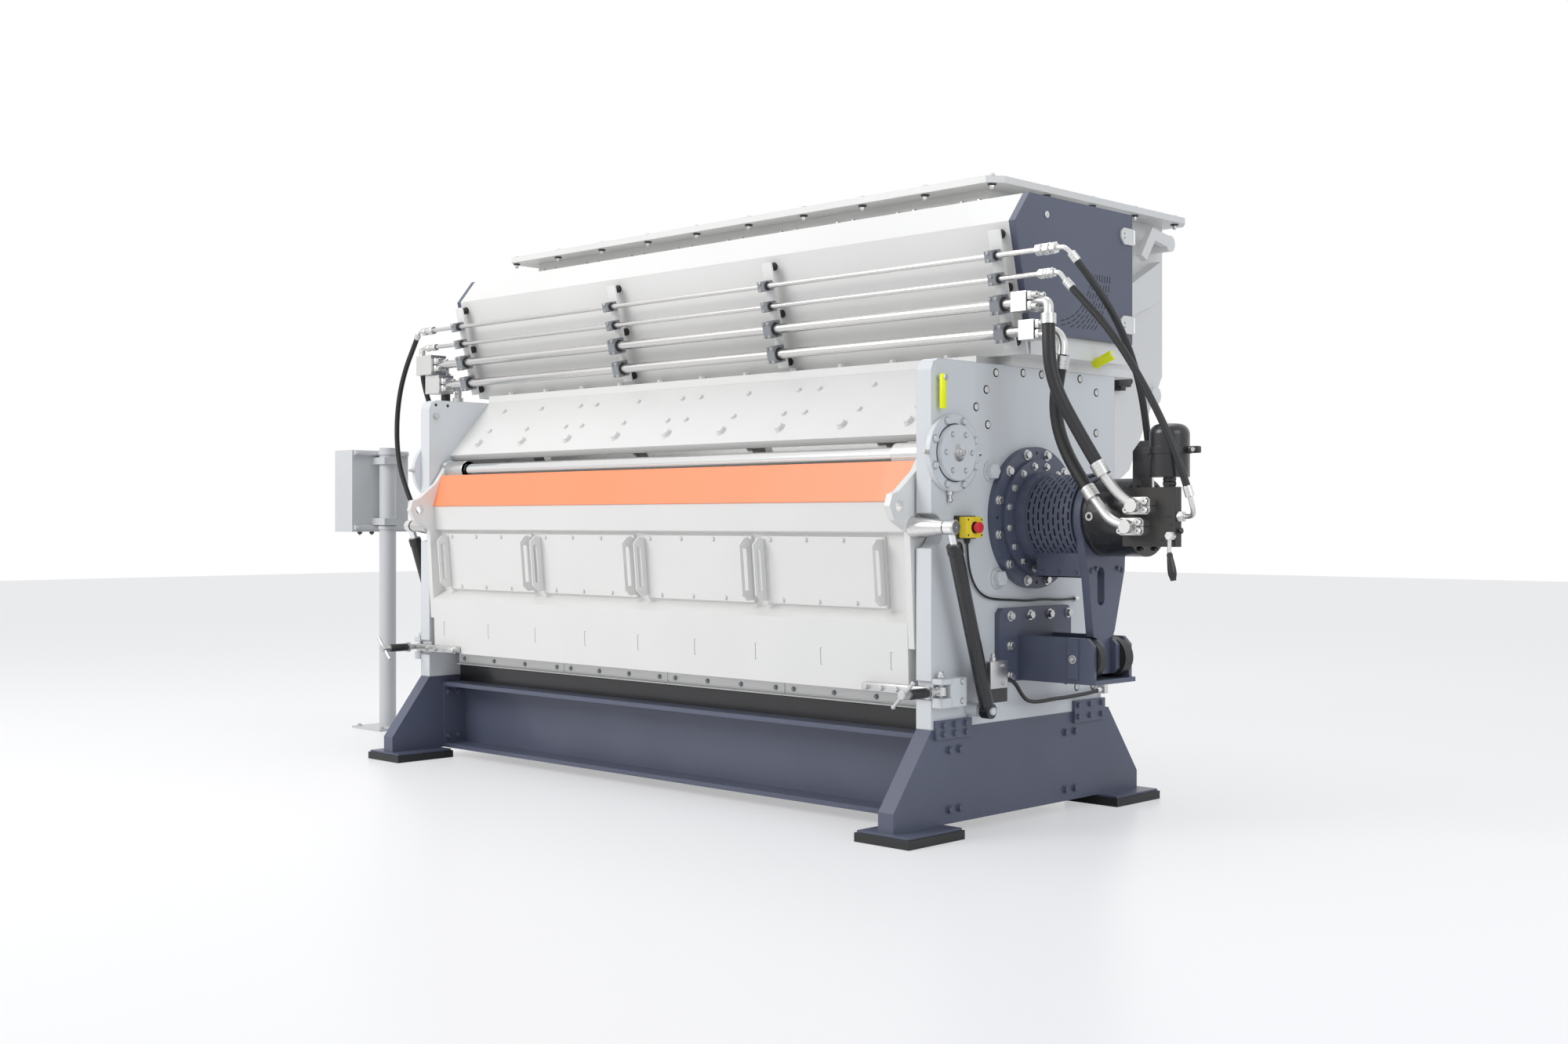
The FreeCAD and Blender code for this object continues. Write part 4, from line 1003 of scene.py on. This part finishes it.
def cylinder_details():
    """Sleeves on the door shaft, pin caps, cylinder heads and their valve bodies."""
    steel = bmesh.new()
    for side, word in SIDES:
        out = (side, 0, 0)
        lathe(steel, (side * 1416, *HINGE), out, SHAFT_SLEEVE, 40)
        lathe(steel, (side * 1786, *DOOR_PIN), out, PIN_CAP, 32)
        black = bmesh.new()
        valve = bmesh.new()
        x, y, z = CYLINDER_FOOT
        foot = Vector((side * x, y, z))
        lathe(black, tuple(foot + REACH * BARREL_END), REACH, BARREL_HEAD, 32)
        low, high = sorted(side * face for face in BARREL_BLOCK)
        block(valve, (low, -374, 552), (high, -266, 657), 4)
        for level in (585, 630):
            hexagon(valve, (side * 1768, -266, level), (0, 1, 0), 12, 14)
        for level in (640, 570):
            socket_screw(valve, (side * BARREL_BLOCK[1], -300, level), out, 8)
        lathe(valve, (side * x, -330, 657), (0, 0, 1), BLOCK_PLUG, 16)
        piece("cylinder_head_" + word, black, BLACK, "barrel_" + word)
        piece("cylinder_valve_" + word, valve, ZINC, "barrel_" + word)
    piece("shaft_sleeves", steel, STEEL, "door")


# The emergency stop: the faces of its base and lid along X, and its button's Y and Z.
STOP_BASE = 1697
STOP_LID = 1735
STOP_BUTTON = (-400, 1167)
STOP_GLAND = [(0, 0), (11, 0), (11, 10), (7, 19), (0, 19)]
BUTTON_HEAD = [(0, 0), (13, 0), (13, 7), (20, 10), (21, 15), (21, 24), (18, 28), (0, 29)]


def emergency_stop():
    """A dark base with its gland, a yellow lid with four screws and a red button."""
    base = bmesh.new()
    out = (1, 0, 0)
    block(base, (OUTER, -456, 1123), (STOP_BASE, -345, 1212), 3)
    lathe(base, (1686, -386, 1124), (0, 0, -1), STOP_GLAND, 16)
    collar(base, (STOP_LID, *STOP_BUTTON), out, 12, 23, 2, 32)
    for y in (-441, -360):
        for z in (1138, 1197):
            disc(base, (STOP_LID, y, z), out, 4, 0.6, 12)
    piece("stop_base", base, RUBBER, replaces=["emergency_stop"])
    lid = bmesh.new()
    block(lid, (STOP_BASE, -452, 1127), (STOP_LID, -349, 1208), 5)
    piece("stop_lid", lid, YELLOW)
    button = bmesh.new()
    lathe(button, (STOP_LID, *STOP_BUTTON), out, BUTTON_HEAD, 36)
    piece("stop_button", button, RED)


LYING_PLACE = (1786, 322, 1830)
LYING_LEAN = (0.93, 0, 0.36)
LYING_LENGTH = 95
LYING_GRIP = [(0, 0), (19, 0), (20, 3), (20, 92), (18, LYING_LENGTH), (0, LYING_LENGTH)]
HANGING_GRIP = [(0, 0), (12, 0), (14, 3), (14, 127), (12, 130), (0, 130)]
HANGING_STUB = [(0, 0), (8, 0), (8, 37), (11, 37), (11, 42), (0, 42)]
HANGING_Y = -549


def lock_pins():
    """The grip beside the hood, and the hanging pins on the end frames."""
    yellow = bmesh.new()
    steel = bmesh.new()
    lathe(yellow, LYING_PLACE, LYING_LEAN, LYING_GRIP, 28)
    tip = Vector(LYING_PLACE) + Vector(LYING_LEAN).normalized() * LYING_LENGTH
    disc(steel, tuple(tip), LYING_LEAN, 12, 1.2)
    for side in ENDS:
        lathe(yellow, (side * 1700, HANGING_Y, 1615), (0, 0, 1), HANGING_GRIP, 24)
        lathe(steel, (side * OUTER, HANGING_Y, 1732), (side, 0, 0), HANGING_STUB, 16)
    piece("pin_grips", yellow, LIME, replaces=["lock_pins"])
    piece("pin_ends", steel, ZINC)


# The control post's axis as X and Y, and the faces of its box.
POST = (-2830, -35)
POST_TOP = 1611
FOOT_TOP = 12
FOOT_BOLT = 115
BOX_BACK = -2900
BOX_FRONT = -3083
BOX_BOTTOM = 1133
BAR_LEVELS = (1142, 1572)
BAR_HEIGHT = 26
BAR_FRONT = -2880
SEAM = 1.5
SEAM_LEVELS = (1150, 1582)
SEAM_SIDES = (-208, 130)
POST_CAP = [(0, 0), (47, 0), (48.5, 1), (47, 4), (0, 5)]
BOX_GLAND = [(0, 0), (14, 0), (14, 10), (10, 14), (0, 22)]


def post_bars():
    """The bars and collars that hold the box, the foot's bolts and the post's cap."""
    bars = bmesh.new()
    up = (0, 0, 1)
    for z in BAR_LEVELS:
        block(bars, (BOX_BACK, -216, z), (BAR_FRONT, 142, z + BAR_HEIGHT), 2)
        collar(bars, (*POST, z + 3), up, 46, 54, 20, 40)
        block(bars, (-2884, -60, z + 4), (-2868, -10, z + 22), 2)
        for y in (-200, 126):
            bolt(bars, (BAR_FRONT, y, z + BAR_HEIGHT / 2), (1, 0, 0), 10)
    for x in (-FOOT_BOLT, FOOT_BOLT):
        for y in (-FOOT_BOLT, FOOT_BOLT):
            bolt(bars, (POST[0] + x, POST[1] + y, FOOT_TOP), up, 14)
    lathe(bars, (*POST, POST_TOP), up, POST_CAP, 40)
    piece("post_bars", bars, BOX_GREY)


def box_seams():
    """The seam round the box's door, its lock and the glands under it."""
    dark = bmesh.new()
    front = BOX_FRONT - 0.3
    back = BOX_FRONT + 1
    for z in SEAM_LEVELS:
        block(dark, (front, SEAM_SIDES[0], z), (back, SEAM_SIDES[1] + 1, z + SEAM))
    for y in SEAM_SIDES:
        block(dark, (front, y, SEAM_LEVELS[0]), (back, y + SEAM, SEAM_LEVELS[1] + 1))
    for y in (-120, -40, 40):
        lathe(dark, (-2990, y, BOX_BOTTOM), (0, 0, -1), BOX_GLAND, 12)
    disc(dark, (BOX_FRONT + 2, 108, 1366), (-1, 0, 0), 12, 2)
    piece("box_seams", dark, BLACK)


CHUTE_STUD = [(0, 0), (18, 0), (18, 14), (12, 22), (0, 22)]
WALL_BOLT_PITCH = 300
WALL_BOLT_LEVELS = (410, 1080)
WALL_SIDE_LEVELS = (840, 930, 1020)


def rear_details():
    """Bolts on the rear wall, and the plug on each side of the chute."""
    mesh = bmesh.new()
    back = (0, 1, 0)
    for index in range(-5, 6):
        for z in WALL_BOLT_LEVELS:
            bolt(mesh, (WALL_BOLT_PITCH * index, REAR_WALL, z), back, 14)
    for side in ENDS:
        for z in WALL_SIDE_LEVELS:
            bolt(mesh, (side * 1560, REAR_WALL, z), back, 14)
    piece("rear_bolts", mesh, WHITE)
    plug = bmesh.new()
    for side in ENDS:
        low, high = sorted((side * NECK_SIDE, side * (NECK_SIDE + 42)))
        block(plug, (low, 900, 1790), (high, 1000, 1846), 5)
        block(plug, (low, 915, 1772), (high, 955, 1792), 3)
        lathe(plug, (side * (NECK_SIDE + 21), 1000, 1818), back, CHUTE_STUD, 16)
    piece("chute_plugs", plug, RUBBER)


FLOOR_SIZE = 60
FLOOR_GLOW = 0.45
WORLD_STRENGTH = 0.58


def floor_material():
    """A pale floor that reads as near white and keeps the shadow."""
    material, shader = tree("floor_pale")
    shader.inputs["Base Color"].default_value = (0.86, 0.86, 0.87, 1)
    shader.inputs["Roughness"].default_value = 0.30
    glow = add(material, "ShaderNodeEmission", Color=(0.98, 0.98, 0.99, 1), Strength=1.0)
    path = add(material, "ShaderNodeLightPath")
    share = add(material, "ShaderNodeMath")
    share.operation = "MULTIPLY"
    share.inputs[1].default_value = FLOOR_GLOW
    mix = add(material, "ShaderNodeMixShader")
    link(material, path.outputs["Is Camera Ray"], share.inputs[0])
    link(material, share.outputs["Value"], mix.inputs["Fac"])
    link(material, shader.outputs["BSDF"], mix.inputs[1])
    link(material, glow.outputs["Emission"], mix.inputs[2])
    output = material.node_tree.nodes["Material Output"]
    link(material, mix.outputs["Shader"], output.inputs["Surface"])
    return material


def pale_floor():
    """The plain floor that the machine stands on."""
    bpy.ops.mesh.primitive_plane_add(size=FLOOR_SIZE)
    floor = bpy.context.object
    floor.name = "floor"
    floor.data.materials.append(floor_material())


def studio():
    """A cool soft light all round, which the camera and metal see as white."""
    world = bpy.data.worlds.new("studio")
    bpy.context.scene.world = world
    world.use_nodes = True
    nodes = world.node_tree.nodes
    links = world.node_tree.links
    light = nodes["Background"]
    light.inputs["Color"].default_value = (0.92, 0.95, 1.0, 1)
    light.inputs["Strength"].default_value = WORLD_STRENGTH
    seen = nodes.new("ShaderNodeBackground")
    seen.inputs["Color"].default_value = (1, 1, 1, 1)
    path = nodes.new("ShaderNodeLightPath")
    source = path.outputs["Is Camera Ray"]
    for ray in ("Is Glossy Ray", "Is Transmission Ray"):
        both = nodes.new("ShaderNodeMath")
        both.operation = "MAXIMUM"
        links.new(source, both.inputs[0])
        links.new(path.outputs[ray], both.inputs[1])
        source = both.outputs["Value"]
    mix = nodes.new("ShaderNodeMixShader")
    links.new(source, mix.inputs["Fac"])
    links.new(light.outputs["Background"], mix.inputs[1])
    links.new(seen.outputs["Background"], mix.inputs[2])
    links.new(mix.outputs["Shader"], nodes["World Output"].inputs["Surface"])


def lamp(name, place, target, size, power, colour=(1, 1, 1)):
    """A square lamp at a place in metres, aimed at a target."""
    data = bpy.data.lights.new(name, "AREA")
    data.size = size
    data.energy = power
    data.color = colour
    item = bpy.data.objects.new(name, data)
    item.location = place
    item.rotation_euler = (Vector(target) - Vector(place)).to_track_quat("-Z", "Y").to_euler()
    bpy.context.collection.objects.link(item)


def camera():
    """The level camera, at the photograph's viewing angle."""
    data = bpy.data.cameras.new("view")
    data.lens = CAMERA_LENS
    data.sensor_width = SENSOR_WIDTH
    item = bpy.data.objects.new("view", data)
    item.location = CAMERA_PLACE
    item.rotation_euler = (math.radians(90), 0, math.radians(CAMERA_YAW))
    bpy.context.collection.objects.link(item)
    bpy.context.scene.camera = item


camera()
cords()
base_bolts()
frame_details()
knife_bolts()
bearing_details()
guards()
drive_details()
valve_details()
rails()
line_ends()
hood_details()
flange_bolts()
door_details()
clamp_bars()
swing_bolts()
cylinder_details()
emergency_stop()
lock_pins()
post_bars()
box_seams()
rear_details()
pale_floor()
studio()
lamp("key", (-3.5, -8.0, 6.5), (0, 0, 1.2), size=5.0, power=520, colour=(1.0, 0.99, 0.97))
lamp("side", (9.0, -1.5, 4.0), (1.5, 0, 1.2), size=4.0, power=130, colour=(0.86, 0.93, 1.0))
lamp("top", (0, 1.0, 7.5), (0, 0, 1), size=5.0, power=170)
bpy.context.scene.view_settings.view_transform = "Standard"
